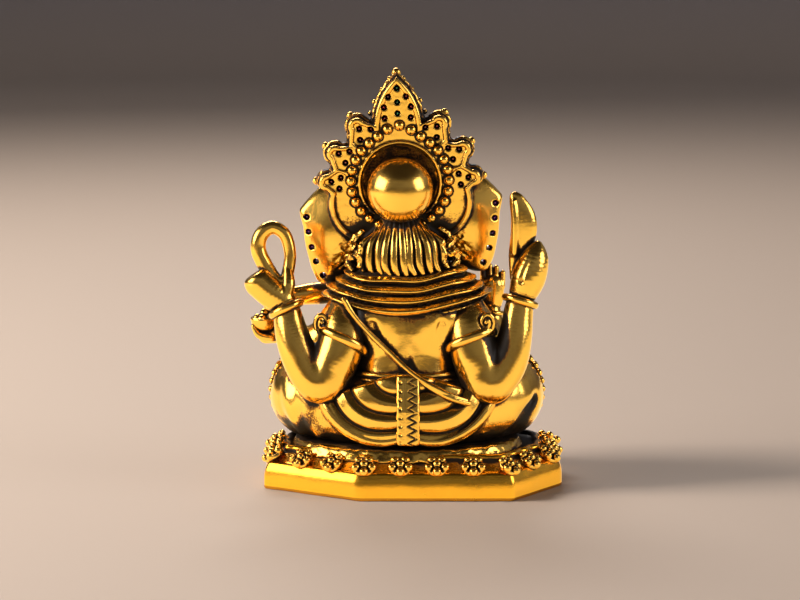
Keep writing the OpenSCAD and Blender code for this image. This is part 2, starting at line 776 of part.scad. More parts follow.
module hair() {
    sculpt() difference() {
        head_pose() hair_shape();
        head_pose() head_shape();
        head_pose() bun_shape();
        head_pose() plate_shape(0);
        torso_shape();
    }
}

// ---------------------------------------------------------------- crown

// Pointed lobes of the crown's outline as [across, up, radius, angle of the point], from the bun's middle.
crown_lobes = [[5.4, 7.2, 2.6, 58], [8.5, 3.6, 2.5, 36], [9.6, 0, 2.45, 4]];
lobe_point = 1.14;          // how far the point reaches, in radii
petal_tip = 16.1;           // height of the tall middle petal's tip
petal_holes = [
    [0, 14.4], [1.4, 13.1], [2.1, 11.5], [2.0, 9.8], [-1.4, 13.1], [-2.1, 11.5], [-2.0, 9.8], [0, 12.2], [0, 10.5]
];
lobe_holes = [[6.0, 8.3], [4.2, 8.2], [5.9, 6.6], [9.3, 4.6], [7.6, 4.9], [8.3, 3.1], [10.6, 0.2], [9.1, 0.8], [9.4, -0.9]];

module crown_outline() {
    petal_r = 10.6;
    petal_c = 6.95;
    circle(r = 8, $fn = 36);
    translate([0, 8.1]) intersection() {
        translate([-petal_c, 0]) circle(r = petal_r, $fn = 64);
        translate([petal_c, 0]) circle(r = petal_r, $fn = 64);
        translate([-5, -8]) square([10, 16]);
    }
    for (side = [-1, 1]) translate([side * 4.9, -3.4]) circle(r = 6.1, $fn = 32);
    for (side = [0, 1], l = crown_lobes) mirror([side, 0]) translate([l[0], l[1]]) {
        circle(r = l[2], $fn = 20);
        rotate(l[3]) translate([l[2] * 0.62, 0]) rotate(45) square(l[2] * (lobe_point - 0.62) * sqrt(2), center = true);
    }
}

module crown_tips() {
    sculpt() difference() {
        head_pose() translate([0, crown_y - plate_t - flange_t / 2, crown_h]) {
            for (side = [-1, 1], l = crown_lobes) {
                reach = l[2] * lobe_point + flange_out * 0.9;
                translate([side * (l[0] + reach * cos(l[3])), 0, l[1] + reach * sin(l[3])]) sphere(r = 0.65, $fn = 10);
            }
            translate([0, 0, petal_tip + flange_out * 0.8]) sphere(r = 0.75, $fn = 12);
            for (x = [-1, 1]) translate([x * 0.95, 0, petal_tip - 0.5]) sphere(r = 0.55, $fn = 10);
        }
        head_pose() plate_shape(0);
    }
}

// The crown's two layers, without its holes, grown by a little to clear what stands against it.
module plate_shape(grow) {
    translate([0, crown_y + grow, crown_h]) rotate([90, 0, 0]) {
        linear_extrude(plate_t + grow) offset(delta = grow) crown_outline();
        translate([0, 0, plate_t]) linear_extrude(flange_t + 2 * grow) offset(r = flange_out + grow) crown_outline();
    }
}

module settings(r, list) {
    for (p = list) translate([p[0], crown_y + 1, crown_h + p[1]]) rotate([90, 0, 0]) cylinder(r = r, h = 12, $fn = 10);
}

all_crown_holes = concat(petal_holes, lobe_holes, [for (p = lobe_holes) [-p[0], p[1]]]);

module crown_plate() {
    sculpt() head_pose() difference() {
        plate_shape(0);
        translate([0, crown_y + 0.01, crown_h]) rotate([90, 0, 0]) linear_extrude(rim_t) offset(delta = -rim_w)
            crown_outline();
        translate([0, crown_y + 1, crown_h]) rotate([90, 0, 0])
            cylinder(r = dish_r, h = crown_y + 1 - dish_floor_y, $fn = 48);
        settings(setting_r, all_crown_holes);
        translate([-10, -10, crown_h - 18]) cube([20, 20, 8]);
        translate([-4.2, -10, crown_h - 12]) cube([8.4, 20, 5.8]);
    }
}

module bun_shape() {
    translate([0, bun_y, crown_h - 0.5]) sphere(r = bun_r, $fn = 28);
}

module crown_bun() {
    sculpt() head_pose() difference() {
        bun_shape();
        translate([0, dish_floor_y - 10, crown_h]) cube([30, 20, 30], center = true);
    }
}

module crown_beads() {
    first = -62;
    last = 245;
    color(gold) head_pose() for (n = [0:bead_count - 1]) {
        a = mix(first, last, n / (bead_count - 1));
        r = bead_ring_r + 1.1 * exp(-pow((a - 90) / 18, 2));
        translate([r * cos(a), crown_y - rim_t + bead_r * 0.8, crown_h + r * sin(a)]) sphere(r = bead_r, $fn = 20);
    }
}

// The tiered cap in front of the plate.
module crown_cap() {
    sculpt() difference() {
        head_pose() translate([0, -4.6, crown_h - 1.6]) scale([1, 0.72, 1]) rotate_extrude($fn = 28) polygon([
            [0, 0], [7.6, 0], [8.0, 0.8], [7.5, 1.7], [7.0, 1.9], [6.9, 4.0], [7.2, 4.5], [6.4, 5.1], [5.6, 5.4],
            [5.0, 7.2], [5.2, 7.7], [4.2, 8.3], [3.2, 10.2], [3.3, 10.7], [2.2, 11.4], [1.2, 12.6], [0, 13]
        ]);
        head_pose() head_shape();
        head_pose() plate_shape(0);
    }
}

// ---------------------------------------------------------------- stones

function flange_front() = crown_y - plate_t - flange_t;
function is_centre(p) = abs(p[0]) < 0.5;

module crown_stone(p) {
    head_pose() translate([p[0], flange_front(), crown_h + p[1]]) rotate([90, 0, 0]) stone(point = plate_t + flange_t - 0.5);
}

module red_stones() {
    color(ruby) for (p = all_crown_holes) if (!is_centre(p) && norm(p) > 8.6) crown_stone(p);
}

module green_stones() {
    color(emerald) for (p = all_crown_holes) if (is_centre(p) || norm(p) <= 8.6) crown_stone(p);
}

module purple_stones() {
    color(amethyst) head_pose() for (side = [0, 1], p = ear_holes) mirror([side, 0, 0])
        translate([p[0], ear_front(p), p[1] + (side * 2 - 1) * ear_lift]) rotate([90, 0, 0]) stone(r = 0.7, point = ear_t);
}

module forehead_stone() {
    color(ruby) head_pose() translate([0, -9.75, 42.4]) rotate([82, 0, 0]) stone(r = 0.9, point = 0.1);
}

// ---------------------------------------------------------------- what is drawn

plinth();
plinth_florets();
seat_pad();
base_pegs();
torso();
folded_legs();
left_foot();
right_foot();
left_drape();
right_drape();
waist_belt();
back_sash();
knee_borders();
anklets();
rear_left_arm();
rear_right_arm();
front_left_arm();
front_right_arm();
rear_left_hand();
rear_right_hand();
front_left_hand();
front_right_hand();
wrist_pegs();
noose();
axe();
sweet_bowl();
sweets();
left_armlet();
right_armlet();
left_bracelet();
right_bracelet();
front_bracelets();
shawl();
sacred_thread();
necklace();
pendant();
head();
neck_peg();
trunk();
left_tusk();
right_tusk();
eyes();
left_ear();
right_ear();
hair();
crown_plate();
crown_tips();
crown_cap();
crown_bun();
crown_beads();
red_stones();
green_stones();
purple_stones();
forehead_stone();
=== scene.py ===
import math
import bpy
import numpy as np
import openvdb
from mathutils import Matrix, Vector


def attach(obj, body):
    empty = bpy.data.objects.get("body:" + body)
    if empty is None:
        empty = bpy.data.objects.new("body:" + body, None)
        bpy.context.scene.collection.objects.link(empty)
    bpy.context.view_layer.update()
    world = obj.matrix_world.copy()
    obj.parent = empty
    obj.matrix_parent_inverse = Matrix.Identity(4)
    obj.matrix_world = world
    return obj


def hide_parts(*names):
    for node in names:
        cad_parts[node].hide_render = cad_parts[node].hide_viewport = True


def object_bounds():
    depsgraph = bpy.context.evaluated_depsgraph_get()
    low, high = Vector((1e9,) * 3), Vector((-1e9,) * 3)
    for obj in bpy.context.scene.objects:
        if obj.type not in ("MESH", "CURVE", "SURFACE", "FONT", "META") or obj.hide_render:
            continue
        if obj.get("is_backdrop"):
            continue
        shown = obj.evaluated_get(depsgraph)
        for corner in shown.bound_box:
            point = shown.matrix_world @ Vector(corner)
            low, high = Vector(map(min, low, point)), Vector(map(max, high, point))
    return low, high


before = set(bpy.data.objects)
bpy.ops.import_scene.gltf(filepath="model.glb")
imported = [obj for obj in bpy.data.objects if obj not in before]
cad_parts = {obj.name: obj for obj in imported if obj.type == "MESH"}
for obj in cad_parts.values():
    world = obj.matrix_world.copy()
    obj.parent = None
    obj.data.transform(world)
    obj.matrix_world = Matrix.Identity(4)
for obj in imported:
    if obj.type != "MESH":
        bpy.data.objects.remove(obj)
cad_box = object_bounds()

# A small gold-plated, stone-set Ganesha idol, sculpted over its CAD frame.
# Each casting is a signed-distance shape in millimetres, meshed at a fixed cell size. The dark
# antiquing is a per-vertex value: how closely the surface is hemmed in by the casting around it.
# On a few pieces painted shade and a painted dark reflection are added to that value.

FINE = 1.0        # multiplies every cell size
MM = 0.001

# ---- shapes


def fade(x):
    """x held between 0 and 1."""
    return np.clip(x, 0, 1)


def far(*steps):
    """How far apart two points are, from the steps between them."""
    return np.sqrt(sum(k * k for k in steps))


def smin(a, b, k):
    """The smaller distance, blended over a width k."""
    h = fade(0.5 + 0.5 * (b - a) / k)
    return b + (a - b) * h - k * h * (1 - h)


def smax(a, b, k):
    return -smin(-a, -b, k)


def union(*shapes):
    out = shapes[0]
    for s in shapes[1:]:
        out = np.minimum(out, s)
    return out


def blend(k, *shapes):
    """The union of shapes, each joint blended over a width k."""
    out = shapes[0]
    for s in shapes[1:]:
        out = smin(out, s, k)
    return out


def ball(p, c, r):
    return far(p[0] - c[0], p[1] - c[1], p[2] - c[2]) - r


def egg(p, c, r):
    q = [(p[i] - c[i]) / r[i] for i in range(3)]
    k0 = far(q[0], q[1], q[2])
    k1 = far(q[0] / r[0], q[1] / r[1], q[2] / r[2])
    return k0 * (k0 - 1) / np.maximum(k1, 1e-6)


def curve(points, steps=5):
    """Points on a smooth curve through [x, y, z, radius] points."""
    pts = np.array(points, float)
    out = []
    n = len(pts)
    for i in range(n - 1):
        a, b, c, d = pts[max(i - 1, 0)], pts[i], pts[i + 1], pts[min(i + 2, n - 1)]
        for s in range(steps):
            t = s / steps
            out.append((2 * b + (c - a) * t + (2 * a - 5 * b + 4 * c - d) * t * t
                        + (3 * b - a - 3 * c + d) * t ** 3) / 2)
    out.append(pts[-1])
    return np.array(out)


def limb(p, points, steps=5, along=False):
    """A round limb through [x, y, z, radius] points, and on request the distance run along it."""
    pts = curve(points, steps) if steps > 1 else np.array(points, float)
    best, run, total = None, None, 0.0
    for a, b in zip(pts[:-1], pts[1:]):
        ab = b[:3] - a[:3]
        size = math.sqrt(ab @ ab)
        q = (p[0] - a[0], p[1] - a[1], p[2] - a[2])
        t = fade((q[0] * ab[0] + q[1] * ab[1] + q[2] * ab[2]) / max(size * size, 1e-9))
        d = far(q[0] - t * ab[0], q[1] - t * ab[1], q[2] - t * ab[2])
        d = d - (a[3] + (b[3] - a[3]) * t)
        if best is None:
            best, run = d, t * size
        else:
            if along:
                run = np.where(d < best, total + t * size, run)
            best = np.minimum(best, d)
        total += size
    return (best, run) if along else best


def basis(direction):
    """Two unit vectors square to a direction, and the direction's own."""
    w = np.array(direction, float)
    w /= np.linalg.norm(w)
    u = np.cross([0, 1, 0], w)
    u /= np.linalg.norm(u)
    return u, np.cross(w, u), w


def local(p, at, direction):
    """Coordinates of p in a frame at a point, with its third axis along a direction."""
    q = (p[0] - at[0], p[1] - at[1], p[2] - at[2])
    return tuple(q[0] * e[0] + q[1] * e[1] + q[2] * e[2] for e in basis(direction))


def ring(p, at, direction, big, small, tall=1.0):
    """A band round a direction: its radius, its wire's radius and how much taller than thick it is."""
    u, v, w = local(p, at, direction)
    r = far(u, v) - big
    return far(r, w / tall) - small


def box(p, c, half, r=0.0):
    q = [np.abs(p[i] - c[i]) - (half[i] - r) for i in range(3)]
    out = np.sqrt(sum(np.maximum(k, 0) ** 2 for k in q))
    return out + np.minimum(np.maximum(q[0], np.maximum(q[1], q[2])), 0) - r


def loft(p, sections, power=2.0):
    """A body through [z, middle y, half width, half depth] sections, boxier for a higher power."""
    s = np.array(sections, float)
    z = np.clip(p[2], s[0, 0], s[-1, 0])
    yc, rx, ry = (np.interp(z, s[:, 0], s[:, k]) for k in (1, 2, 3))
    k = (np.abs(p[0] / rx) ** power + np.abs((p[1] - yc) / ry) ** power) ** (1 / power)
    d = (k - 1) * np.minimum(rx, ry)
    return smax(d, np.maximum(s[0, 0] - p[2], p[2] - s[-1, 0]), 0.8)


def outline(u, w, corners):
    """Signed distance to a closed 2D outline."""
    v = np.array(corners, float)
    d = np.full(np.shape(u), 1e9)
    inside = np.zeros(np.shape(u), bool)
    for a, b in zip(v, np.roll(v, 1, axis=0)):
        e = b - a
        qu, qw = u - a[0], w - a[1]
        t = fade((qu * e[0] + qw * e[1]) / (e @ e))
        d = np.minimum(d, (qu - t * e[0]) ** 2 + (qw - t * e[1]) ** 2)
        crosses = ((a[1] > w) != (b[1] > w))
        with np.errstate(divide="ignore", invalid="ignore"):
            left = u < (b[0] - a[0]) * (w - a[1]) / (b[1] - a[1] if b[1] != a[1] else 1e-9) + a[0]
        inside ^= crosses & left
    return np.sqrt(d) * np.where(inside, -1, 1)


def closed(corners, steps=4):
    """A smooth closed outline through 2D corners."""
    pts = [[a, b, 0, 0] for a, b in corners]
    ringed = curve([pts[-1]] + pts + [pts[0], pts[1]], steps)
    return ringed[steps:-steps - 1, :2]


def flip(p):
    return (-p[0], p[1], p[2])


def both(shape, p):
    """A shape and its mirror image in X."""
    return np.minimum(shape(p), shape(flip(p)))


def waves(p, scale, seed=0.0):
    """A cheap smooth irregularity between -1 and 1."""
    x, y, z = (c * scale for c in p)
    across = np.sin(x * 1.3 + 1.7 * np.sin(y * 0.9 + seed) + seed)
    along = np.sin(y * 1.1 + 1.3 * np.sin(z * 1.2) + 2 * seed)
    return (across * along + np.sin(z * 1.5 + 1.1 * np.sin(x * 1.4 + seed))) / 2


def on_circle(k, n, r=1.0, turn=0.0):
    """Point k of n round a circle."""
    a = 2 * math.pi * k / n + turn
    return [r * math.cos(a), r * math.sin(a)]


def columns(points):
    """The x, y and z of a list of points, each as its own array."""
    return [points[:, k] for k in range(3)]


# ---- sizes shared with the CAD

TILT, SHIFT = math.radians(2), 0.6   # the head leans a little towards +X and sits off the middle
NECK = 33.0
CROWN_Z, CROWN_Y = 47.4, 1.9         # the middle of the crown plate's rear face
LEAN = 0.06                          # how much the crown plate leans back as it rises
SEAT_TOP = 7.2


def head_space(p):
    """Coordinates of p in the head's own upright space."""
    x, z = p[0] - SHIFT, p[2] - NECK
    c, s = math.cos(TILT), math.sin(TILT)
    return (x * c - z * s, p[1], x * s + z * c + NECK)


def head_place(q):
    """A point of the head's own space, in the frame."""
    c, s = math.cos(TILT), math.sin(TILT)
    z = q[2] - NECK
    return np.array([q[0] * c + z * s + SHIFT, q[1], -q[0] * s + z * c + NECK])


# ---- plinth

PLINTH_X = -1.0
PLINTH = [[23.2, 7.1], [8.4, 16], [-15.1, 16], [-23.2, 5.1], [-23.2, -6.5], [-12.4, -16], [12.4, -16],
          [23.2, -6.5]]
SIDE_H, TOP_H, BAND = 3.8, 5.9, 3.2


def plinth_plan(p):
    """Distance outside the plinth's octagon, mitred at the corners."""
    pts = np.array(PLINTH)
    out = None
    for a, b in zip(pts, np.roll(pts, -1, axis=0)):
        e = (b - a) / np.linalg.norm(b - a)
        d = (p[0] - PLINTH_X - a[0]) * e[1] - (p[1] - a[1]) * e[0]
        out = d if out is None else smax(out, d, 0.5)
    return out


def plinth(p):
    """A straight side, a band that slopes up to a wavy-lipped top, and a hollow underneath."""
    plan = plinth_plan(p) + 0.42 * fade((p[2] - 1.7) / 2.1) ** 2
    slope = (plan + BAND * (p[2] - SIDE_H) / (TOP_H - SIDE_H)) * 0.55
    d = smax(plan, p[2] - TOP_H, 0.5)
    d = smax(d, slope, 0.7)
    d = smax(d, -p[2], 0.25)
    wavy = 0.22 * np.sin(p[0] * 1.6) * np.sin(p[1] * 1.5)
    lip = far(plan + BAND + 0.2 + wavy, p[2] - TOP_H - 0.1) - 0.55
    d = smin(d, lip, 0.25)
    edge = far(plan + 0.55, p[2] - SIDE_H) - 0.34
    d = smin(d, edge, 0.4)
    d = smax(d, -np.maximum(plan + 2.6, p[2] - 1.1), 0.2)
    return d + 0.04 * waves(p, 0.55)


def seat_pad(p):
    r = far(p[0], (p[1] - 0.3) / 0.72)
    d = (r - 18.2 + 0.7 * (p[2] - 5.7)) * 0.72
    lumps = 0.12 * waves(p, 1.2, 2.0) + 0.06 * waves(p, 2.9, 0.7)
    return smax(smax(d, p[2] - SEAT_TOP, 0.5), 5.4 - p[2], 0.2) + lumps


# ---- body

TORSO = [[7.0, 0, 10.6, 8.6], [10, -0.6, 11.8, 10.4], [13, -1.2, 12.2, 11.4], [16, -1.6, 11.6, 11.4],
         [19, -1.5, 10.4, 10.8], [21.5, -1.0, 9.6, 10.0], [24.5, -0.4, 9.5, 9.2], [27.5, 0.1, 9.7, 8.1],
         [30, 0.4, 9.0, 6.9], [32, 0.7, 6.6, 5.6], [34.4, 0.8, 4.8, 4.6]]


def torso(p):
    d = loft(p, TORSO)
    d = blend(2.2, d, both(lambda q: egg(q, [4.6, 4.6, 26.2], [4.4, 4.2, 4.6]), p),
              egg(p, [0, -3.4, 18.6], [9.6, 9.0, 7.6]))
    spine = far(p[0], p[1] - 9.4) - 0.5
    d = smax(d, -np.where(p[2] > 19, spine, 9.0), 1.2)
    navel = ball(p, [0, -12.6, 17.4], 0.7)
    hollow = [[5.3, 8.8, 26.0, 0.35], [5.0, 9.3, 23.9, 0.75], [5.5, 9.2, 21.8, 0.45]]
    d = smax(smax(d, -both(lambda q: limb(q, hollow, 3), p), 1.0), -navel, 0.5)
    return d + 0.05 * waves(p, 0.5, 1.0)


def legs(p):
    def side(q):
        thigh = limb(q, [[7, 3.0, 12.6, 6.2], [11.8, 1.2, 13.2, 6.8], [14.5, -2.2, 13.1, 6.95],
                         [14.4, -4.2, 13.2, 6.7]])
        shin = limb(q, [[15.0, -5.2, 11.5, 5.2], [8.5, -10.4, 10.4, 3.9], [2, -12.0, 9.8, 3.0]])
        return smin(thigh, shin, 1.6)
    hips = limb(p, [[-8, 3.2, 12.2, 6.4], [0, 4.4, 12.2, 6.6], [8, 3.2, 12.2, 6.4]])
    low = egg(p, [0, -0.2, 10.4], [18.2, 10.4, 4.2])
    d = blend(1.6, hips, low, both(side, p))
    crease = limb(p, [[-19.6, 1.6, 13.0, 0.2], [-18.5, 3.3, 11.0, 0.65], [-16.8, 3.8, 8.2, 0.8]], 4)
    d = smax(d, -crease, 1.9)
    for x in (18.2, 15.4):
        back = 0.85 * (18.4 - x)
        hang = [[x, 1.8 + back, 16.2, 0.2], [x - 0.3, 3.9 + back, 12.2, 0.4], [x - 1.8, 4.1 + back, 8.6, 0.2]]
        d = smin(d, limb(p, hang, 4), 2.0)
    for n, top in enumerate((13.6, 16.0, 18.6)):
        fold = [[10.5, -8.6 - 0.6 * n, top - 3.4, 0.15], [15.2, -9.2, top - 1.6, 0.3],
                [20.2, -6.4, top - 0.6, 0.12]]
        d = smin(d, both(lambda q: limb(q, fold, 4), p), 0.9)
    return smax(d, SEAT_TOP - 0.5 - p[2], 0.5) + 0.06 * waves(p, 0.6, 3.0)


def foot(p):
    d = limb(p, [[9.0, -12.8, 9.9, 2.0], [5.4, -14.1, 9.3, 1.95], [2.4, -14.3, 9.0, 1.55]])
    for x, y, z, r in ([1.4, -14.6, 8.1, 0.52], [1.0, -14.9, 8.8, 0.55], [1.0, -14.8, 9.5, 0.55],
                       [1.3, -14.5, 10.2, 0.62]):
        d = smin(d, limb(p, [[x + 1.6, y + 0.3, z, r], [x, y, z, r]], 1), 0.25)
    return d


HEM_X, HEM_Z = 12.7, 10.9           # how far the hem runs out and down from the belt beside the sash
ROUND = 2.2                          # the power that squares the hem's curve a little


def drape(p, folds, turn):
    """The left half of the cloth over the hips, in nested hanging folds."""
    base = egg(p, [0, 1.5, 11], [17.5, 10.6, 12])
    x = np.maximum(p[0] - 1.2, 0)
    down = np.maximum(18.6 - p[2], 0) * (1 + 0.1 * fade(1 - x / 5.5) ** 2)
    level = ((x / HEM_X) ** ROUND + (down / HEM_Z) ** ROUND) ** (1 / ROUND)
    fold = level ** 1.25 * folds + turn + 0.1 * np.sin(p[0] * 0.5)
    ridge = np.abs(np.sin(math.pi * fold)) ** 0.7
    crimp = 0.2 * np.abs(np.sin(math.pi * (fold * 2 + 0.3))) * np.clip(p[0] / 9, 0.3, 1)
    d = base - 0.25 - (0.85 * (ridge - 0.42) - crimp) * fade((1.05 - level) * 5)
    d = smax(d, (level - 1.0) * 9.0, 0.4)
    d = smax(d, (p[2] + 0.34 * p[0] - 19.3) * 0.9, 0.5)
    d = smax(d, 1.0 - p[0], 0.2)
    d = smax(d, 3.0 - p[1], 0.4)
    hem = far((level - 1.0) * 9.8, base - 0.1) - 0.68
    hem = smax(hem, 1.0 - p[0], 0.2)
    hem = smax(hem, 3.2 - p[1], 0.2)
    hem = smax(hem, p[2] - 14.6, 0.3)
    return smin(d, hem, 0.18)


def belt(p):
    r = far(p[0], p[1] + 1.3)
    upper = far(r - 11.1, p[2] - 18.15) - 0.42
    lower = far(r - 11.3, p[2] - 17.25) - 0.42
    return smin(upper, lower, 0.2)


ZIGZAG = 1.3                         # the height of one zigzag cut into the sash
SASH_LINE = [[8.7, 12.5], [13.2, 12.2], [16.2, 11.4], [18.6, 10.5]]     # height and rear face


def sash(p):
    """The strip that hangs down the back, cut with a zigzag and dots."""
    back = np.interp(p[2], *np.transpose(SASH_LINE))
    q = (p[0] + 0.15, p[1] - back, p[2])
    d = box(q, [0, -0.25, 13.3], [1.78, 0.95, 5.4], 0.55)
    face = fade((q[1] - 0.2) * 2.5)
    tri = np.abs(((p[2] / ZIGZAG) % 1.0) - 0.5) * 2
    zig = np.abs(p[0] + 0.75 + 0.6 * (tri * 2 - 1)) * 0.7
    dots = far(p[0] - 1.05, ((p[2] / ZIGZAG) % 1.0 - 0.5) * ZIGZAG) - 0.1
    cut = fade(0.2 - np.minimum(zig, dots))
    seam = 0.1 * fade(1 - np.abs(p[0] - 0.45) / 0.3)
    return d + (1.15 * cut + seam) * face


# ---- arms and hands

REAR_LEFT = [[8.4, 2.6, 28.4, 3.2], [9.5, 5.2, 25.2, 3.6], [10.8, 6.8, 20.8, 3.6], [12.4, 7.3, 17.2, 3.35],
             [13.8, 7.3, 16.9, 3.3], [16.1, 6.8, 19.8, 2.95], [17.6, 6.1, 23.6, 2.65], [18.5, 5.1, 27.2, 2.2],
             [18.9, 4.9, 28.6, 1.95]]
REAR_RIGHT = [[-8.4, 2.6, 28.4, 3.2], [-9.4, 5.2, 25.2, 3.6], [-10.5, 6.8, 20.6, 3.6],
              [-11.8, 7.3, 17.0, 3.35], [-13.2, 7.3, 16.8, 3.3], [-15.6, 6.8, 19.8, 2.95],
              [-16.7, 6.1, 24.0, 2.6], [-17.3, 5.1, 28.2, 2.2], [-17.7, 4.8, 29.8, 1.95]]
FRONT_LEFT = [[7.4, -2.2, 28.8, 3.3], [11.0, -4.2, 24.4, 3.0], [13.6, -5.2, 21.0, 2.7],
              [16.6, -6.2, 21.0, 2.35], [19.4, -6.6, 22.3, 1.65]]
FRONT_RIGHT = [[-7.2, -2.2, 28.8, 3.3], [-10.6, -4.0, 24.6, 3.0], [-12.6, -5.6, 20.8, 2.75],
               [-13.2, -7.2, 22.6, 2.3], [-13.4, -8.0, 25.4, 1.65]]
REAR_ELBOW, FRONT_ELBOW = 3, 2       # the elbow's place in those lists
LEFT_WRIST, LEFT_REACH = [18.6, 5.0, 27.9], [2.2, -1.0, 4.6]
RIGHT_WRIST, RIGHT_REACH = [-17.45, 5.0, 29.1], [-1.5, -1.0, 5.0]
FRONT_LEFT_WRIST, FRONT_LEFT_REACH = [19.0, -6.55, 22.1], [2.6, -0.4, 0.9]
FRONT_RIGHT_WRIST, FRONT_RIGHT_REACH = [-13.35, -7.9, 25.2], [-0.1, -0.4, 2.6]


def arm(points, elbow):
    """An upper arm and a forearm, blended round the crook of the elbow."""
    def shape(p):
        d = smin(limb(p, points[:elbow + 1], 8), limb(p, points[elbow:], 8), 0.8)
        return d + 0.04 * waves(p, 0.7, points[0][0])
    return shape


def rear_left_hand(p):
    d = limb(p, [[19.0, 4.8, 28.8, 1.95], [20.8, 4.6, 30.2, 2.35], [22.7, 4.2, 31.9, 2.45]])
    d = smax(d, p[0] * 0.55 + p[2] * 0.83 - 40.6, 0.5)
    for k in range(4):
        s = 0.6 + 1.15 * k
        a = [19.4 + 0.72 * s, 2.7 - 0.05 * s, 29.0 + 0.78 * s, 0.72]
        b = [18.6 + 0.74 * s, 3.6, 30.9 + 0.66 * s, 0.66]
        d = smin(d, limb(p, [a, b], 1), 0.3)
    thumb = limb(p, [[19.0, 5.2, 29.4, 1.15], [18.3, 4.8, 31.6, 1.05], [18.4, 3.8, 33.8, 0.75]])
    d = smin(d, thumb, 0.35)
    crease = limb(p, [[20.4, 7.1, 31.9, 0.12], [21.4, 6.6, 33.4, 0.15], [22.6, 5.2, 34.4, 0.15]], 2)
    return smax(d, -crease, 0.4)


def rear_right_hand(p):
    d = limb(p, [[-17.7, 4.8, 29.8, 1.95], [-18.7, 4.7, 32.6, 2.65], [-19.6, 4.4, 35.4, 2.2],
                 [-20.1, 4.2, 37.6, 0.85]])
    fingers = limb(p, [[-17.4, 3.2, 31.2, 1.1], [-17.0, 2.4, 33.6, 1.1], [-17.6, 2.6, 35.6, 0.8]])
    d = smin(d, fingers, 0.4)
    crease = limb(p, [[-19.6, 6.2, 38.2, 0.2], [-18.6, 6.9, 36.0, 0.32], [-17.7, 7.2, 33.8, 0.25],
                      [-17.5, 7.0, 32.4, 0.1]])
    return smax(d, -crease, 0.5)


NOOSE = [[20.8, 2.9, 40.3], [22.5, 3.0, 39.2], [23.0, 3.1, 37.0], [22.0, 3.4, 34.6], [20.3, 4.0, 32.3],
         [18.9, 4.0, 32.2], [18.3, 3.5, 34.0], [18.1, 3.2, 36.4], [18.9, 3.0, 39.2]]
NOOSE_R = [1.05, 1.15, 1.2, 1.2, 1.1, 1.0, 0.95, 0.95, 1.0]


def noose(p):
    pts = [q + [r] for q, r in zip(NOOSE, NOOSE_R)]
    ringed = curve([pts[-1]] + pts + [pts[0], pts[1]], 6)
    return limb(p, ringed[6:-6], 1)


def axe(p):
    q = (p[0], (p[1] - 3.1) / 0.6 + 3.1, p[2])
    d = limb(q, [[-16.9, 3.1, 32.6, 1.0], [-17.2, 3.1, 36.0, 1.5], [-18.0, 3.1, 39.4, 2.0],
                 [-17.9, 3.1, 42.0, 1.9], [-17.1, 3.1, 44.2, 1.3], [-16.7, 3.1, 45.0, 0.9]]) * 0.7
    groove = limb(p, [[-16.4, 4.2, 45.0, 0.05], [-17.7, 4.7, 43.0, 0.28], [-18.6, 4.7, 40.6, 0.1]], 4)
    ridge = limb(p, [[-16.4, 4.0, 44.4, 0.35], [-16.6, 4.2, 41.0, 0.5], [-16.6, 4.1, 36.5, 0.5]], 4)
    return smax(smin(d, ridge, 0.6), -groove, 0.4)


BOWL = [22.6, -6.6, 24.2]


def in_bowl(x, y, z):
    return [BOWL[0] + x, BOWL[1] + y, BOWL[2] + z]


def bowl(p):
    outer = ball(p, in_bowl(0, 0, 0.2), 2.2)
    inner = ball(p, in_bowl(0, 0, 0.5), 1.9)
    rim = ring(p, in_bowl(0, 0, 0.3), [0, 0, 1], 2.0, 0.24)
    return smin(smax(smax(outer, p[2] - BOWL[2] - 0.3, 0.2), -inner, 0.2), rim, 0.2)


def sweets(p):
    d = ball(p, in_bowl(0, 0, 1.15), 0.74)
    for k in range(5):
        d = np.minimum(d, ball(p, in_bowl(*on_circle(k, 5, 1.1), 0.35), 0.72))
    return d


def front_left_hand(p):
    d = limb(p, [[19.2, -6.6, 22.2, 1.5], [20.8, -6.8, 22.0, 1.5], [22.4, -6.7, 21.7, 1.25]])
    for k in range(4):
        y = -5.4 - 0.95 * k
        tip = [24.3, -6.8 + (y + 6.8) * 0.8, 23.4, 0.42]
        d = smin(d, limb(p, [[21.4, y, 21.5, 0.6], [23.4, y, 22.0, 0.58], tip]), 0.3)
    thumb = limb(p, [[20.2, -8.2, 22.3, 0.75], [21.0, -9.0, 23.4, 0.6], [21.6, -8.9, 24.4, 0.45]])
    return smin(d, thumb, 0.3)


def front_right_hand(p):
    q = (p[0], (p[1] + 8.4) / 0.75 - 8.4, p[2])
    d = limb(q, [[-13.4, -8.1, 25.8, 1.4], [-13.5, -8.4, 27.8, 1.95], [-13.6, -8.4, 29.4, 1.8]]) * 0.8
    for k, top in enumerate([32.0, 32.6, 32.3, 31.5]):
        x = -12.15 - 0.98 * k
        d = smin(d, limb(p, [[x, -8.4, 29.4, 0.58], [x - 0.06 * k, -8.8, top, 0.46]], 1), 0.2)
    thumb = [[-12.2, -8.4, 27.2, 0.8], [-11.0, -9.0, 28.9, 0.6], [-10.8, -9.4, 30.0, 0.45]]
    return smin(d, limb(p, thumb, 3), 0.3)


# ---- bands, cloth and cords worn


def scroll(p, at, side):
    """A raised spiral boss on an armlet, opening up and outwards."""
    pts = []
    for k in range(18):
        a = -0.6 + k * 0.56
        r = 1.35 * (1 - 0.052 * k)
        x, z = at[0] + side * r * math.cos(a) * 0.8, at[2] + r * math.sin(a) * 1.15
        pts.append([x, at[1] + 0.05 * k, z, 0.4 - 0.008 * k])
    return limb(p, pts, 1)


def left_armlet(p):
    d = ring(p, [9.9, 6.0, 23.0], [2.4, 1.5, -4.8], 3.85, 0.62, 1.2)
    return smin(d, scroll(p, [13.1, 6.6, 26.0], 1), 0.25)


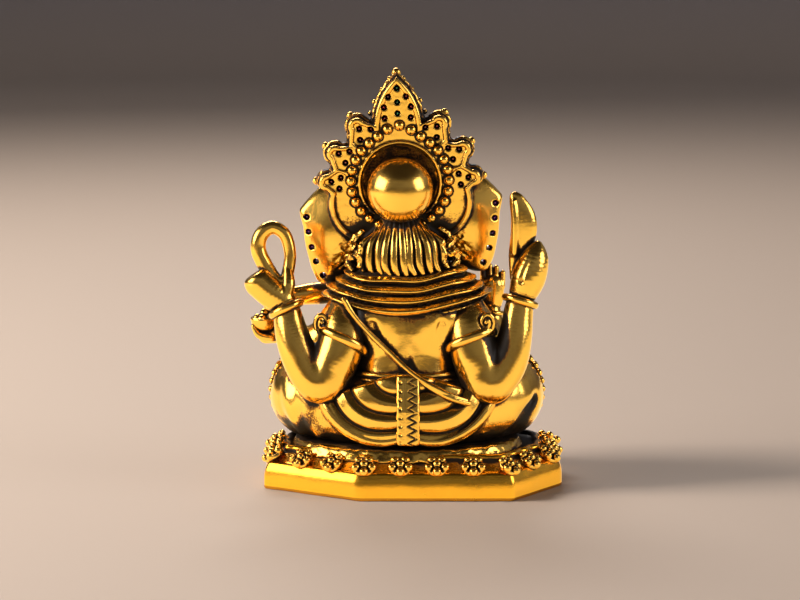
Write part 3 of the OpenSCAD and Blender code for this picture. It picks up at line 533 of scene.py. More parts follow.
def right_armlet(p):
    d = ring(p, [-9.8, 6.0, 23.1], [-2.0, 1.5, -4.8], 3.85, 0.62, 1.2)
    return smin(d, scroll(p, [-12.2, 8.0, 26.3], -1), 0.25)


def left_bracelet(p):
    return ring(p, LEFT_WRIST, LEFT_REACH, 2.45, 0.52, 1.1)


def right_bracelet(p):
    return ring(p, RIGHT_WRIST, RIGHT_REACH, 2.45, 0.5, 1.1)


def front_bracelets(p):
    return np.minimum(ring(p, FRONT_LEFT_WRIST, FRONT_LEFT_REACH, 1.85, 0.4),
                      ring(p, FRONT_RIGHT_WRIST, FRONT_RIGHT_REACH, 1.85, 0.4))


SHAWL = [[26.8, 0.4, 11.4, 8.7], [28.6, 0.6, 12.1, 8.7], [30.4, 0.6, 11.9, 8.0], [32.2, 0.8, 9.7, 6.9],
         [34.0, 0.9, 7.8, 6.0], [35.2, 0.9, 6.6, 5.4]]


def shawl(p):
    """The ridged cloth round the shoulders, lower in the middle than at the arms."""
    base = loft(p, SHAWL, 2.5)
    span = fade(np.abs(p[0]) / 12.2)
    front = fade(-p[1] / 6.0)
    low = 27.6 + 2.0 * span ** 2 - 1.4 * front + 0.25 * np.sin(p[0] * 1.1) * front
    high = 33.4 + 0.7 * span ** 2 + 0.2 * np.sin(p[0] * 0.7)
    v = (p[2] - low) / (high - low)
    v = v + 0.03 * np.sin(p[0] * 0.4 + 1.0) + 0.08 * p[0] / 12
    wave = v * 3.8 + 0.02
    ridge = np.abs(np.sin(math.pi * wave)) ** 0.7
    fine = np.abs(np.sin(math.pi * (wave * 2 + 0.5)))
    d = base - 0.25 - 1.25 * (ridge - 0.55) - 0.16 * fine
    d = smax(d, low - 0.15 - p[2], 0.5)
    return smax(d, p[2] - high - 0.3, 0.5)


# points down the sacred thread, each with half the gap between its two strands
THREAD = [[9.6, 8.8, 29.9, 0.16], [8.2, 9.0, 27.6, 0.2], [6.0, 9.2, 25.1, 0.24], [2.6, 9.6, 21.8, 0.3],
          [-1.5, 10.9, 18.2, 0.4], [-6.0, 11.8, 15.7, 0.46], [-9.2, 10.9, 14.4, 0.3]]


def thread(p):
    up = [[x + 0.7 * w, y, z + 0.8 * w, 0.36] for x, y, z, w in THREAD]
    down = [[x - 0.7 * w, y, z - 0.8 * w, 0.4] for x, y, z, w in THREAD]
    return np.minimum(limb(p, up), limb(p, down))


def pendant(p):
    u, v, w = local(p, [0, -11.0, 24.2], [0, -1, 0.2])
    disc = smax(far(u, v) - 1.4, np.abs(w) - 0.45, 0.3)
    rim = far(far(u, v) - 1.2, w - 0.4) - 0.25
    return union(disc, rim, far(u, v, w - 0.4) - 0.55)


# ---- head


def head(p):
    q = head_space(p)
    skull = egg(q, [0, -3.6, 41.4], [7.9, 5.1, 8.1])
    face = egg(q, [0, -4.8, 40.2], [6.2, 5.3, 6.4])
    neck = egg(q, [0, 0.4, 35.2], [6.7, 5.9, 4.6])
    d = blend(1.5, skull, face, neck)
    dome = both(lambda r: egg(r, [2.4, -7.9, 44.0], [2.7, 2.2, 2.6]), q)
    ridge = [[1.5, -9.8, 42.3, 0.35], [3.6, -9.7, 42.9, 0.5], [5.7, -8.2, 42.1, 0.3]]
    brow = both(lambda r: limb(r, ridge, 4), q)
    cheek = both(lambda r: egg(r, [3.7, -7.8, 37.4], [2.5, 2.4, 2.7]), q)
    lip = limb(q, [[-2.6, -8.4, 35.4, 0.6], [0, -9.9, 34.4, 0.9], [2.6, -8.4, 35.4, 0.6]], 4)
    d = blend(0.9, d, dome, cheek)
    d = smin(smin(d, brow, 0.5), lip, 0.5)
    socket = both(lambda r: egg(r, [3.7, -9.7, 41.1], [1.6, 1.1, 0.9]), q)
    return smax(d, -socket, 0.4)


TRUNK = [[0.9, -9.0, 40.4, 2.9], [1.0, -10.4, 37.8, 3.0], [1.8, -11.4, 34.8, 2.85], [4.0, -11.7, 31.8, 2.5],
         [7.8, -11.0, 29.6, 2.15], [12.0, -9.6, 28.4, 1.9], [16.2, -8.2, 28.1, 1.65], [19.6, -7.4, 27.6, 1.3],
         [21.7, -7.0, 26.2, 1.05]]


def trunk(p):
    d, run = limb(p, TRUNK, 10, along=True)
    wrinkle = np.abs(np.sin(math.pi * run / 1.7)) ** 0.5
    front = np.clip(0.4 - (p[1] + 9.6) / 2.0, 0.12, 1)
    return d + 0.2 * (1 - wrinkle) * fade(run / 5 - 0.4) * front


def tusk(side, reach):
    def shape(p):
        q = head_space(p)
        q = (q[0] * side, q[1], q[2])
        d = limb(q, [[3.3, -8.4, 36.9, 1.05], [4.1, -10.2, 35.5, 0.85], [4.6, -10.4 - reach, 35.3, 0.45]])
        return smin(d, ring(q, [3.95, -9.9, 35.8], [0.9, -2.0, -1.2], 0.85, 0.3), 0.1)
    return shape


def eyes(p):
    def one(q):
        lens = egg(q, [3.7, -8.7, 41.1], [1.2, 0.95, 0.66])
        lid = np.sqrt((lens - 0.05) ** 2 + (q[1] + 9.2) ** 2 * 0.6) - 0.17
        pupil = egg(q, [3.6, -9.6, 41.1], [0.4, 0.22, 0.4])
        return union(smax(lens, q[1] + 8.0, 0.2), lid, pupil)
    return both(one, head_space(p))


EAR = [[6.2, 45.6], [8.0, 47.2], [10.4, 47.7], [12.9, 46.5], [15.4, 44.0], [16.0, 42.9], [15.5, 40.6],
       [15.3, 38.0], [14.8, 35.4], [14.3, 33.4], [13.4, 31.6], [12.2, 31.2], [10.6, 31.5], [9.2, 32.2],
       [7.8, 33.1], [6.2, 34.6]]
EAR_HOLES = [[14.8, 42.2], [14.6, 39.9], [14.2, 37.5], [13.6, 35.2], [12.6, 32.9]]
EAR_AT, EAR_R, EAR_T = [8.6, -16.5, 39.4], 14.6, 1.3    # a thick shell cut from a ball
EAR_LIFT = 0.6                       # the left ear sits this much lower, the right one higher
EAR_LINE = closed(EAR, 3)


def ear(side):
    """A fan-shaped ear, pierced near its outer edge for stones."""
    def shape(p):
        q = head_space(p)
        q = (q[0] * side, q[1], q[2] + side * EAR_LIFT)
        r = far(q[0] - EAR_AT[0], q[1] - EAR_AT[1], q[2] - EAR_AT[2])
        ripple = 0.16 * np.sin(q[0] * 0.7 + q[2] * 0.25)
        sheet = np.abs(r - EAR_R + EAR_T / 2 + ripple) - EAR_T / 2
        plan = outline(q[0], q[2], EAR_LINE)
        d = smax(sheet, plan, 0.8)
        lip = far(plan + 0.5, r - EAR_R + EAR_T + ripple) - 0.45
        d = smin(d, lip, 0.3)
        d = smax(d, -(q[1] + 8.5), 0.3)
        for h in EAR_HOLES:
            hole = far(q[0] - h[0], q[2] - h[1]) - 0.45
            d = smax(d, -hole, 0.12)
        fold = limb(q, [[9.6, -5.0, 33.8, 0.35], [9.8, -3.6, 36.6, 0.4], [9.4, -3.0, 39.6, 0.3]], 3)
        near = fade(1.3 - np.hypot(q[0] - 8.4, (q[2] - 35.2) * 0.7) / 2.2)
        curls = (0.2 * waves(q, 2.6, 1.0) + 0.1 * waves(q, 5.0, 2.0)) * near
        return smin(d, fold, 0.6) + curls
    return shape


STRANDS = 11
HAIR = [[32.6, 0.8, 6.6, 6.0], [35.0, 0.8, 6.7, 6.3], [37.4, 0.6, 5.8, 6.3], [39.6, 0.4, 4.5, 5.6],
        [42.0, 0, 3.2, 4.2]]


def hair(p):
    """Strands that fan down behind the head, with a curl on each side."""
    q = head_space(p)
    d = loft(q, HAIR)
    for n in range(STRANDS):
        u = n / (STRANDS - 1) * 2 - 1
        uu = u * u
        bend = 0.22 * math.sin(n * 2.1)
        pts = [[u * 3.0, 4.4 - uu, 42.2 - 2.2 * uu, 0.42], [u * 4.8, 5.8 - 1.5 * uu, 40.0 - uu, 0.52],
               [u * 6.0 + bend * 0.5, 6.9 - 2.2 * uu, 37.8, 0.62],
               [u * 6.3 + bend, 7.3 - 2.5 * uu, 35.2, 0.64], [u * 6.3 - 0.5, 7.3 - 2.5 * uu, 33.6, 0.42]]
        d = np.minimum(d, limb(q, pts))
    curl = both(lambda r: limb(r, [[6.0, 2.6, 39.8, 0.4], [7.6, 2.4, 38.2, 0.6], [6.9, 3.6, 36.6, 0.6],
                                   [8.4, 2.8, 35.4, 0.65], [7.6, 3.6, 34.0, 0.5]]), q)
    lumps = (0.25 * waves(q, 2.4, 1.0) + 0.12 * waves(q, 5.5, 3.0)) * fade(np.abs(q[0]) - 5.9)
    return smin(d, curl, 0.2) + lumps


# ---- crown

# each lobe's x and z from the middle of the bun, its radius and which way it points, in degrees
LOBES = [[5.4, 7.2, 2.6, 58], [8.5, 3.6, 2.5, 36], [9.6, 0.0, 2.45, 4]]
PETAL_HOLES = [[0, 14.4], [1.4, 13.1], [2.1, 11.5], [2.0, 9.8], [-1.4, 13.1], [-2.1, 11.5], [-2.0, 9.8],
               [0, 12.2], [0, 10.5]]
LOBE_HOLES = [[6.0, 8.3], [4.2, 8.2], [5.9, 6.6], [9.3, 4.6], [7.6, 4.9], [8.3, 3.1], [10.6, 0.2], [9.1, 0.8],
              [9.4, -0.9]]
CROWN_HOLES = PETAL_HOLES + LOBE_HOLES + [[-a, b] for a, b in LOBE_HOLES]
HOLE_R = 0.46
DISH_R, DISH_LIP_R, BUN_R = 6.1, 6.3, 5.05
PETAL_TOP = 16.1


def crown_plan(u, w):
    """Signed distance to the crown's rear outline, from the middle of the bun."""
    a = np.abs(u)
    disc = far(u, w) - 8.0
    petal = np.maximum(far(a + 6.95, w - 8.1) - 10.55, 1.0 - w)
    wing = far(a - 4.9, w + 3.4) - 6.1
    d = smin(smin(disc, wing, 0.4), petal, 0.4)
    for cx, cz, r, deg in LOBES:
        t = math.radians(deg)
        ex, ez = math.cos(t), math.sin(t)
        s = fade(((a - cx) * ex + (w - cz) * ez) / (r * 0.66))
        lobe = far(a - cx - s * ex * r * 0.66, w - cz - s * ez * r * 0.66) - r * (1 - 0.5 * s)
        d = smin(d, lobe, 0.25)
    cut = (a - 2.4) * -0.647 + (w + 6.6) * -0.765
    return smax(d, cut, 0.3)


def crown_plate(p):
    """The pierced plate behind the head: its field, raised rim, flange and dish."""
    q = head_space(p)
    u, w = q[0], q[2] - CROWN_Z
    y = q[1] - LEAN * w
    plan = crown_plan(u, w)
    field = smax(plan, np.abs(y - 0.65) - 0.8, 0.3)
    rim = far(plan + 0.38, y - 1.42) - 0.43
    rough = 0.05 * waves(q, 2.2, 4.0) + 0.03 * waves(q, 4.6, 1.0)
    grow = 0.68 * np.clip((w + 3.5) / 4.5, 0.4, 1)
    flange = smax(plan - grow, np.abs(y + 0.75) - 0.95, 0.6) + rough
    d = smin(smin(field, flange, 0.2), rim, 0.12)
    hollow = far(u, w + 0.3)
    dish = far(hollow / DISH_R, (y - CROWN_Y) / 1.75)
    d = smax(d, (1 - dish) * 1.7 + 0.05 * waves(q, 1.7, 2.0), 0.25)
    lip = far(hollow - DISH_LIP_R, y - 1.45) - 0.3
    d = smin(d, smax(lip, -(w + 5.2), 0.2), 0.15)
    for h in CROWN_HOLES:
        d = smax(d, HOLE_R - far(u - h[0], w - h[1]), 0.12)
    pits = 0.012 * waves((q[2], q[0], q[1]), 2.1, 0.5) + 0.008 * waves(q, 4.3, 2.5)
    return d + pits * fade(-plan * 2 - 1.0)


def crown_tip_points():
    """The knobs on the petal's tip, on the lobes' tips and up the petal's sides."""
    pts = [[0, 0, PETAL_TOP + 0.55, 0.72], [0.95, 0, 15.6, 0.52], [-0.95, 0, 15.6, 0.52]]
    for side in (-1, 1):
        for cx, cz, r, deg in LOBES:
            t = math.radians(deg)
            reach = r * 1.16 + 0.55
            pts.append([side * (cx + reach * math.cos(t)), 0, cz + reach * math.sin(t), 0.62])
    for side in (-1, 1):
        for s in (0.25, 0.5, 0.75):
            pts.append([side * (3.9 * (1 - s * s) + 0.55), -0.4, 8.6 + 7.2 * s, 0.42])
    return [[a, CROWN_Y - 2.65 + b + LEAN * c, CROWN_Z + c, r] for a, b, c, r in pts]


def crown_cap(p):
    """The tiered, fluted crown on top of the head."""
    q = head_space(p)
    y = (q[1] + 4.6) / 0.72
    r = far(q[0], y)
    around = np.arctan2(y, q[0])
    profile = [[-0.5, 0], [7.6, 0], [8.0, 0.8], [7.5, 1.7], [7.0, 1.9], [6.9, 4.0], [7.2, 4.5], [6.4, 5.1],
               [5.6, 5.4], [5.0, 7.2], [5.2, 7.7], [4.2, 8.3], [3.2, 10.2], [3.3, 10.7], [2.2, 11.4],
               [1.2, 12.6], [-0.5, 13]]
    w = q[2] - CROWN_Z + 1.6
    d = outline(r, w, profile)
    flutes = 0.16 * np.abs(np.sin(around * 10)) * fade(np.sin(w * 1.9 + 0.6) + 0.4)
    return (d + 0.2 - flutes) * 0.75


def bun(p):
    q = head_space(p)
    return smax(ball(q, [0, 4.4, CROWN_Z - 1.1], BUN_R), -0.4 - q[1], 0.1)


BEADS, BEADS_FROM, BEADS_TO = 25, -62, 245      # how many, and the arc they take in degrees


def bead_points():
    """The beads round the dish, which bow out under the petal."""
    pts = []
    for n in range(BEADS):
        a = BEADS_FROM + (BEADS_TO - BEADS_FROM) * n / (BEADS - 1)
        r = 7.55 + 1.1 * math.exp(-((a - 90) / 18) ** 2)
        t = math.radians(a)
        up = r * math.sin(t)
        pts.append([r * math.cos(t), CROWN_Y + 0.05 + LEAN * up, CROWN_Z + up, 0.72])
    return pts


# ---- meshing

castings = []


def casting(node, shape, low, high, cell, soil_and_painted_shade=lambda q: 0.0):
    """Lists a shape with the node it stands for, the box it is meshed in, its cell and extra darkening: dirt,
    and on some pieces painted shade and a painted dark reflection.
    """
    castings.append((node, shape, np.array(low, float), np.array(high, float), cell * FINE, soil_and_painted_shade))


# a coarse grid of distances to the nearest casting, which starts out empty at 4 mm everywhere
ROOM_LOW, ROOM_CELL = np.array([-28.0, -19.0, -1.0]), 0.45
ROOM_N = np.array([126, 86, 152])
room = np.full(ROOM_N, 4.0, np.float32)


def fill_room(shape, low, high):
    """Adds a casting to the coarse distance field that the antiquing is read from."""
    i0 = np.maximum(np.floor((low - 2.2 - ROOM_LOW) / ROOM_CELL).astype(int), 0)
    i1 = np.minimum(np.ceil((high + 2.2 - ROOM_LOW) / ROOM_CELL).astype(int), ROOM_N - 1)
    axes = [ROOM_LOW[k] + ROOM_CELL * np.arange(i0[k], i1[k] + 1) for k in range(3)]
    grid = [g.astype(np.float32) for g in np.meshgrid(*axes, indexing="ij")]
    part = room[i0[0]:i1[0] + 1, i0[1]:i1[1] + 1, i0[2]:i1[2] + 1]
    np.minimum(part, shape(grid).astype(np.float32), out=part)


def read_room(p):
    """The coarse field's distance at each point."""
    f = [np.clip((p[k] - ROOM_LOW[k]) / ROOM_CELL, 0, ROOM_N[k] - 1.001) for k in range(3)]
    i = [c.astype(int) for c in f]
    t = [c - j for c, j in zip(f, i)]
    out = 0
    for a in (0, 1):
        for b in (0, 1):
            for c in (0, 1):
                w = (t[0] if a else 1 - t[0]) * (t[1] if b else 1 - t[1]) * (t[2] if c else 1 - t[2])
                out = out + w * room[i[0] + a, i[1] + b, i[2] + c]
    return out


def surface(shape, low, high, cell):
    """Points, outward quads and normals of a shape's skin. Only cells near it are worked out in full."""
    step = 4
    n = np.ceil((high - low) / (cell * step)).astype(int) + 1
    axes = [low[k] + cell * step * np.arange(n[k]) for k in range(3)]
    coarse = shape([g.astype(np.float32) for g in np.meshgrid(*axes, indexing="ij")])
    fine = np.repeat(np.repeat(np.repeat(coarse, step, 0), step, 1), step, 2).astype(np.float32)
    offset = low - cell * (step - 1) / 2
    near = np.abs(fine) < cell * step * 1.1 + 0.5
    idx = np.nonzero(near)
    at = [(offset[k] + cell * idx[k]).astype(np.float32) for k in range(3)]
    fine[near] = shape(at)
    grid = openvdb.FloatGrid(9.0)
    grid.copyFromArray(fine)
    points, quads = grid.convertToQuads(isovalue=0.0)
    points = points.astype(float) * cell + offset
    for _ in range(2):
        q = columns(points)
        normals = gradient(shape, q)
        points = points - normals * np.clip(shape(q), -cell, cell)[:, None]
    return points, outward(points, quads, normals), normals


def gradient(shape, q, eps=0.03):
    """The way out of a shape at each point."""
    g = []
    for k in range(3):
        a, b = list(q), list(q)
        a[k] = q[k] + eps
        b[k] = q[k] - eps
        g.append(shape(a) - shape(b))
    g = np.stack(g, axis=1)
    return g / np.maximum(np.linalg.norm(g, axis=1, keepdims=True), 1e-9)


def hemmed(field, points, normals, looks):
    """How much a field closes in on points, from (height above the skin, weight) looks."""
    return sum(w * fade(1 - field(columns(points + normals * h)) / h) for h, w in looks)


def soiling(shape, points, normals):
    """0 on open metal to 1 deep in a recess."""
    own = hemmed(shape, points, normals, ((0.3, 0.6), (0.7, 0.5)))
    wide = hemmed(read_room, points, normals, ((0.8, 0.35), (1.6, 0.35), (3.0, 0.3)))
    return fade(np.maximum(own, wide) + 0.35 * np.minimum(own, wide))


def linked(name, data):
    """A new object in the scene."""
    obj = bpy.data.objects.new(name, data)
    bpy.context.scene.collection.objects.link(obj)
    return obj


def set_patina_and_painted_shade(mesh, soil_and_painted_shade):
    mesh.attributes.new("patina_and_painted_shade", "FLOAT", "POINT").data.foreach_set("value", soil_and_painted_shade.astype(np.float32))


def mesh_object(name, points, quads, soil_and_painted_shade):
    """A smooth mesh from points in mm and quads, made in bulk."""
    mesh = bpy.data.meshes.new(name)
    points = np.ascontiguousarray(points * MM, np.float32)
    quads = np.ascontiguousarray(quads, np.int32)
    n, m = len(points), len(quads)
    mesh.vertices.add(n)
    mesh.vertices.foreach_set("co", points.ravel())
    mesh.loops.add(m * 4)
    mesh.loops.foreach_set("vertex_index", quads.ravel())
    mesh.polygons.add(m)
    mesh.polygons.foreach_set("loop_start", np.arange(0, m * 4, 4, dtype=np.int32))
    mesh.polygons.foreach_set("use_smooth", np.ones(m, bool))
    mesh.update(calc_edges=True)
    set_patina_and_painted_shade(mesh, soil_and_painted_shade)
    return linked(name, mesh)


def outward(points, quads, normals):
    """The quads, turned over if they face inwards."""
    a, b, c = points[quads[:, 0]], points[quads[:, 1]], points[quads[:, 2]]
    face = np.cross(b - a, c - a)
    turn = np.sum(face * normals[quads[:, 0]], axis=1)
    return quads if np.sum(turn) > 0 else quads[:, ::-1]


# ---- materials


def socket(node, name, value):
    node.inputs[name].default_value = value


def new_material(name):
    """A material with its nodes, its links and its main shader."""
    mat = bpy.data.materials.new(name)
    mat.use_nodes = True
    nodes = mat.node_tree.nodes
    return mat, nodes, mat.node_tree.links, nodes["Principled BSDF"]


def ramp_node(nodes, *stops):
    """A colour ramp from (position, colour) stops: its two ends, then any between."""
    ramp = nodes.new("ShaderNodeValToRGB")
    ends = ramp.color_ramp.elements
    for n, (position, colour) in enumerate(stops):
        stop = ends[n] if n < 2 else ends.new(position)
        stop.position = position
        stop.color = (*colour, 1)
    return ramp


CLEAN, DIRTY = 0.40, 0.58            # the patina-and-shade value at which the dark colour starts and is full


def gold_material(name, tint=(1.0, 0.56, 0.10), rough=0.19, dirt=1.0):
    """Gold plate that darkens and dulls where the patina-and-shade value is high: antiquing, and on a few
    pieces painted shade.
    """
    mat, nodes, links, bsdf = new_material(name)
    place = nodes.new("ShaderNodeTexCoord")
    soil_and_painted_shade = nodes.new("ShaderNodeAttribute")
    soil_and_painted_shade.attribute_name = "patina_and_painted_shade"

    def noise(scale, detail, roughness=0.6):
        n = nodes.new("ShaderNodeTexNoise")
        socket(n, "Scale", scale)
        socket(n, "Detail", detail)
        socket(n, "Roughness", roughness)
        links.new(place.outputs["Object"], n.inputs["Vector"])
        return n.outputs["Fac"]

    def maths(op, a, b):
        n = nodes.new("ShaderNodeMath")
        n.operation = op
        for k, v in enumerate((a, b)):
            if isinstance(v, (int, float)):
                n.inputs[k].default_value = v
            else:
                links.new(v, n.inputs[k])
        return n.outputs[0]

    def times(a, b):
        return maths("MULTIPLY", a, b)

    grain = times(maths("SUBTRACT", noise(4200, 5, 0.75), 0.5), 0.75)
    patches = times(maths("SUBTRACT", noise(420, 3), 0.5), 0.45)
    level = maths("ADD", soil_and_painted_shade.outputs["Fac"], maths("ADD", grain, patches))
    ramp = ramp_node(nodes, (CLEAN / dirt, (0, 0, 0)), (DIRTY / dirt, (1, 1, 1)))
    links.new(level, ramp.inputs["Fac"])
    dark = ramp.outputs["Color"]
    colour = ramp_node(nodes, (0.0, tint), (1.0, (0.016, 0.009, 0.005)), (0.45, (0.30, 0.105, 0.018)))
    links.new(dark, colour.inputs["Fac"])
    links.new(colour.outputs["Color"], bsdf.inputs["Base Color"])
    links.new(maths("SUBTRACT", 1.0, times(dark, 0.75)), bsdf.inputs["Metallic"])
    shine = maths("ADD", rough - 0.05, times(noise(900, 4), 0.12))
    links.new(maths("ADD", shine, times(dark, 0.28)), bsdf.inputs["Roughness"])
    bump = nodes.new("ShaderNodeBump")
    socket(bump, "Strength", 0.35)
    socket(bump, "Distance", 0.00012)
    links.new(maths("ADD", times(noise(650, 3), 0.8), times(noise(5200, 2), 0.12)), bump.inputs["Height"])
    links.new(bump.outputs["Normal"], bsdf.inputs["Normal"])
    socket(bsdf, "Specular IOR Level", 0.3)
    return mat


def stone_material(name, colour):
    """Coloured glass, a little uneven, with a polished skin."""
    mat, nodes, links, bsdf = new_material(name)
    place = nodes.new("ShaderNodeTexCoord")
    n = nodes.new("ShaderNodeTexNoise")
    socket(n, "Scale", 900)
    links.new(place.outputs["Object"], n.inputs["Vector"])
    ramp = ramp_node(nodes, (0.35, [c * 0.45 for c in colour]), (0.7, colour))
    links.new(n.outputs["Fac"], ramp.inputs["Fac"])
    links.new(ramp.outputs["Color"], bsdf.inputs["Base Color"])
    for key, value in (("Roughness", 0.04), ("IOR", 1.7), ("Transmission Weight", 0.25),
                       ("Coat Weight", 1.0), ("Coat Roughness", 0.02)):
        socket(bsdf, key, value)
    return mat


GOLD = gold_material("antique_gold")
PLINTH_GOLD = gold_material("plinth_gold", (1.0, 0.48, 0.04), 0.24, 0.95)
RED = stone_material("red_glass", (0.75, 0.02, 0.05))
GREEN = stone_material("green_glass", (0.01, 0.5, 0.24))
PURPLE = stone_material("purple_glass", (0.3, 0.02, 0.42))


def finish_piece(obj, node, slot="gold", material=GOLD):
    """Gives a piece its material, the body it rides on and the node it replaces. Its slot is not used."""
    obj.data.materials.clear()
    obj.data.materials.append(material)
    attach(obj, "root")
    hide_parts(node)


# ---- every casting


def band_dirt_and_painted_reflection(p):
    """Antiquing left on the plinth's sloping band and its top, and a painted dark reflection along the top of
    the straight side.
    """
    band = 0.42 * fade((p[2] - SIDE_H - 0.25) / 0.5) - 0.3 * fade((p[2] - TOP_H + 0.15) / 0.3)
    # painted dark reflection: a soft dark band along the top of the plinth's straight side
    return band + 0.22 * fade(1 - np.abs(p[2] - SIDE_H + 0.3) / 0.8)


def dish_dirt(p):
    """Antiquing in the dish behind the bun, and a little on the crown's field."""
    q = head_space(p)
    r = far(q[0], q[2] - CROWN_Z)
    edge = 0.2 * fade(0.35 - q[1]) * fade(r - 6.8)
    dish = -0.42 * fade((6.4 - r) / 0.4) + 0.22 * fade((q[2] - CROWN_Z - 4.4) / 1.2) * (r < 6.4)
    near = union(*[far(q[0] - b[0], q[2] - b[2]) for b in bead_points()])
    seats = 0.6 * fade((1.15 - near) / 0.25) * (r > 6.5)
    return dish + edge + seats + 0.3 * fade((-q[2] + CROWN_Z - 1.0) / 2) * (r > 6.5)


def leg_darkening(p):
    """Darkening low on the legs, in noisy smudges low on the +X leg and on top of the outer thighs."""
    low = 0.2 * fade(1 - np.abs(p[2] - 9.5) / 3.5) + 0.06
    smudge = 0.34 * fade(waves(p, 0.55, 6.0) + 0.2) * fade((p[0] - 13.0) / 2) * (p[2] < 13.5)
    return low + smudge + 0.3 * fade((p[2] - 15.2) / 1.6) * fade((np.abs(p[0]) - 15.5) / 2)


def crook_patina_and_painted_shade(middle, strength):
    """Antiquing and painted shade inside the crook of a rear arm."""
    def soil_and_painted_shade(p):
        # painted shade as well as antiquing: an oval of darkening round the crook
        away = far((p[0] - middle[0]) / 2.1, (p[2] - middle[1]) / 4.2)
        return strength * fade((1.25 - away) * 2)
    return soil_and_painted_shade


casting("plinth", plinth, [-25, -17, -0.6], [23.5, 17, 7], 0.26, band_dirt_and_painted_reflection)
casting("seat_pad", seat_pad, [-19.5, -14, 5], [19.5, 14.5, 8], 0.3, lambda q: -0.1)
casting("torso", torso, [-14, -15, 6.4], [14, 11.5, 35], 0.26)
casting("folded_legs", legs, [-23, -17, 6], [23, 13, 22], 0.26, leg_darkening)
casting("left_foot", foot, [-1, -17, 6.4], [12, -10, 12.8], 0.16)
casting("right_foot", lambda p: foot(flip(p)), [-12, -17, 6.4], [1, -10, 12.8], 0.16)
casting("left_drape", lambda p: drape(p, 3.6, 0.1), [-0.5, 0.5, 6.5], [16.5, 14, 20.5], 0.17)
casting("right_drape", lambda p: drape(flip(p), 3.1, 0.35), [-16.5, 0.5, 6.5], [0.5, 14, 20.5], 0.17)
casting("waist_belt", belt, [-13, -14.5, 16.5], [13, 12, 20], 0.18)
casting("back_sash", sash, [-2.8, 8, 7], [2.8, 14.5, 20], 0.12)
casting("rear_left_arm", arm(REAR_LEFT, REAR_ELBOW), [3, -1.5, 12.5], [22, 12, 34], 0.22,
        crook_patina_and_painted_shade([15.0, 23.6], 0.34))
casting("rear_right_arm", arm(REAR_RIGHT, REAR_ELBOW), [-21, -1.5, 12.5], [-3, 12, 34], 0.22,
        crook_patina_and_painted_shade([-13.9, 24.0], 0.62))
casting("front_left_arm", arm(FRONT_LEFT, FRONT_ELBOW), [3, -11, 16], [22, 2, 33], 0.24)
casting("front_right_arm", arm(FRONT_RIGHT, FRONT_ELBOW), [-17, -12, 16], [-3, 2, 33], 0.24)
casting("rear_left_hand", rear_left_hand, [16, 0.5, 26], [25.5, 8, 36], 0.15)
casting("rear_right_hand", rear_right_hand, [-23, 0.5, 27], [-15, 8.5, 39.5], 0.15)
casting("front_left_hand", front_left_hand, [17, -11, 19.6], [25.4, -4, 26], 0.15)
casting("front_right_hand", front_right_hand, [-17, -11.4, 24], [-9.5, -6, 34], 0.15)
casting("noose", noose, [16, 1, 30], [25, 6, 42.5], 0.16)
casting("axe", axe, [-21, 0.5, 31], [-15, 6, 47], 0.15)
casting("sweet_bowl", bowl, [19.5, -9.5, 21.2], [25.4, -3.7, 25.4], 0.13)
casting("sweets", sweets, [20.3, -8.8, 23.2], [24.9, -4.2, 26.6], 0.12)
casting("left_armlet", left_armlet, [4, 0, 18.5], [17, 12, 29.5], 0.14)
casting("right_armlet", right_armlet, [-16.5, 0, 18.5], [-4, 12.5, 29.5], 0.14)
casting("left_bracelet", left_bracelet, [15, 1.5, 25.5], [22.2, 8.5, 30.3], 0.14)
casting("right_bracelet", right_bracelet, [-21, 1.5, 26.8], [-14, 8.5, 31.4], 0.14)
casting("front_bracelets", front_bracelets, [-16.2, -11, 19.4], [21.6, -4, 26.8], 0.16)
casting("shawl", shawl, [-14, -10.5, 25], [14, 11.5, 35.8], 0.18)
casting("sacred_thread", thread, [-10.6, 7, 12.8], [11.4, 13.8, 31.4], 0.13)
casting("pendant", pendant, [-2, -13, 22], [2, -9.5, 26.4], 0.12)
casting("head", head, [-9.5, -12, 30], [11, 8, 51], 0.22)
casting("trunk", trunk, [-3.5, -15.6, 23.6], [23.4, -4, 44.5], 0.18)
casting("left_tusk", tusk(1, 1.0), [1.5, -13.2, 33.5], [6.8, -6.6, 38.8], 0.13)
casting("right_tusk", tusk(-1, 2.6), [-6.4, -14.4, 33.6], [-1.6, -6.6, 39], 0.13)
casting("eyes", eyes, [-5.8, -10.8, 39.6], [6.4, -7.4, 42.8], 0.1)
casting("left_ear", ear(1), [5, -10, 29.5], [18, -0.6, 50], 0.19)
casting("right_ear", ear(-1), [-17.6, -10, 30], [-4.4, -0.6, 51], 0.19)
casting("hair", hair, [-10, -6, 32], [11, 9.6, 44.5], 0.17)
casting("crown_plate", crown_plate, [-13.8, -2.4, 36], [15.8, 2.6, 66], 0.14, dish_dirt)
casting("crown_cap", crown_cap, [-9, -11.4, 44.6], [11, 3.0, 60.4], 0.2)
casting("crown_bun", bun, [-5.5, -1.2, 41], [7.6, 10.6, 54], 0.24)

# the pieces whose names are not their node's name with _casting added
CASTING_NAMES = {"seat_pad": "seat_casting", "folded_legs": "leg_casting", "waist_belt": "belt_casting",
                 "back_sash": "sash_casting", "sweet_bowl": "bowl_casting",
                 "front_bracelets": "front_bracelet_castings", "sacred_thread": "thread_casting",
                 "eyes": "eye_castings", "crown_bun": "bun_casting"}

for _, shape, low, high, _, _ in castings:
    fill_room(shape, low, high)

for node, shape, low, high, cell, extra in castings:
    pts, quads, normals = surface(shape, low, high, cell)
    # antiquing from the surroundings plus each casting's extra darkening, which paints shade on a few pieces
    soil_and_painted_shade = soiling(shape, pts, normals) + extra(columns(pts))
    obj = mesh_object(CASTING_NAMES.get(node, node + "_casting"), pts, quads, soil_and_painted_shade)
    finish_piece(obj, node, "gold", PLINTH_GOLD if node == "plinth" else GOLD)

# ---- beads, florets and stones


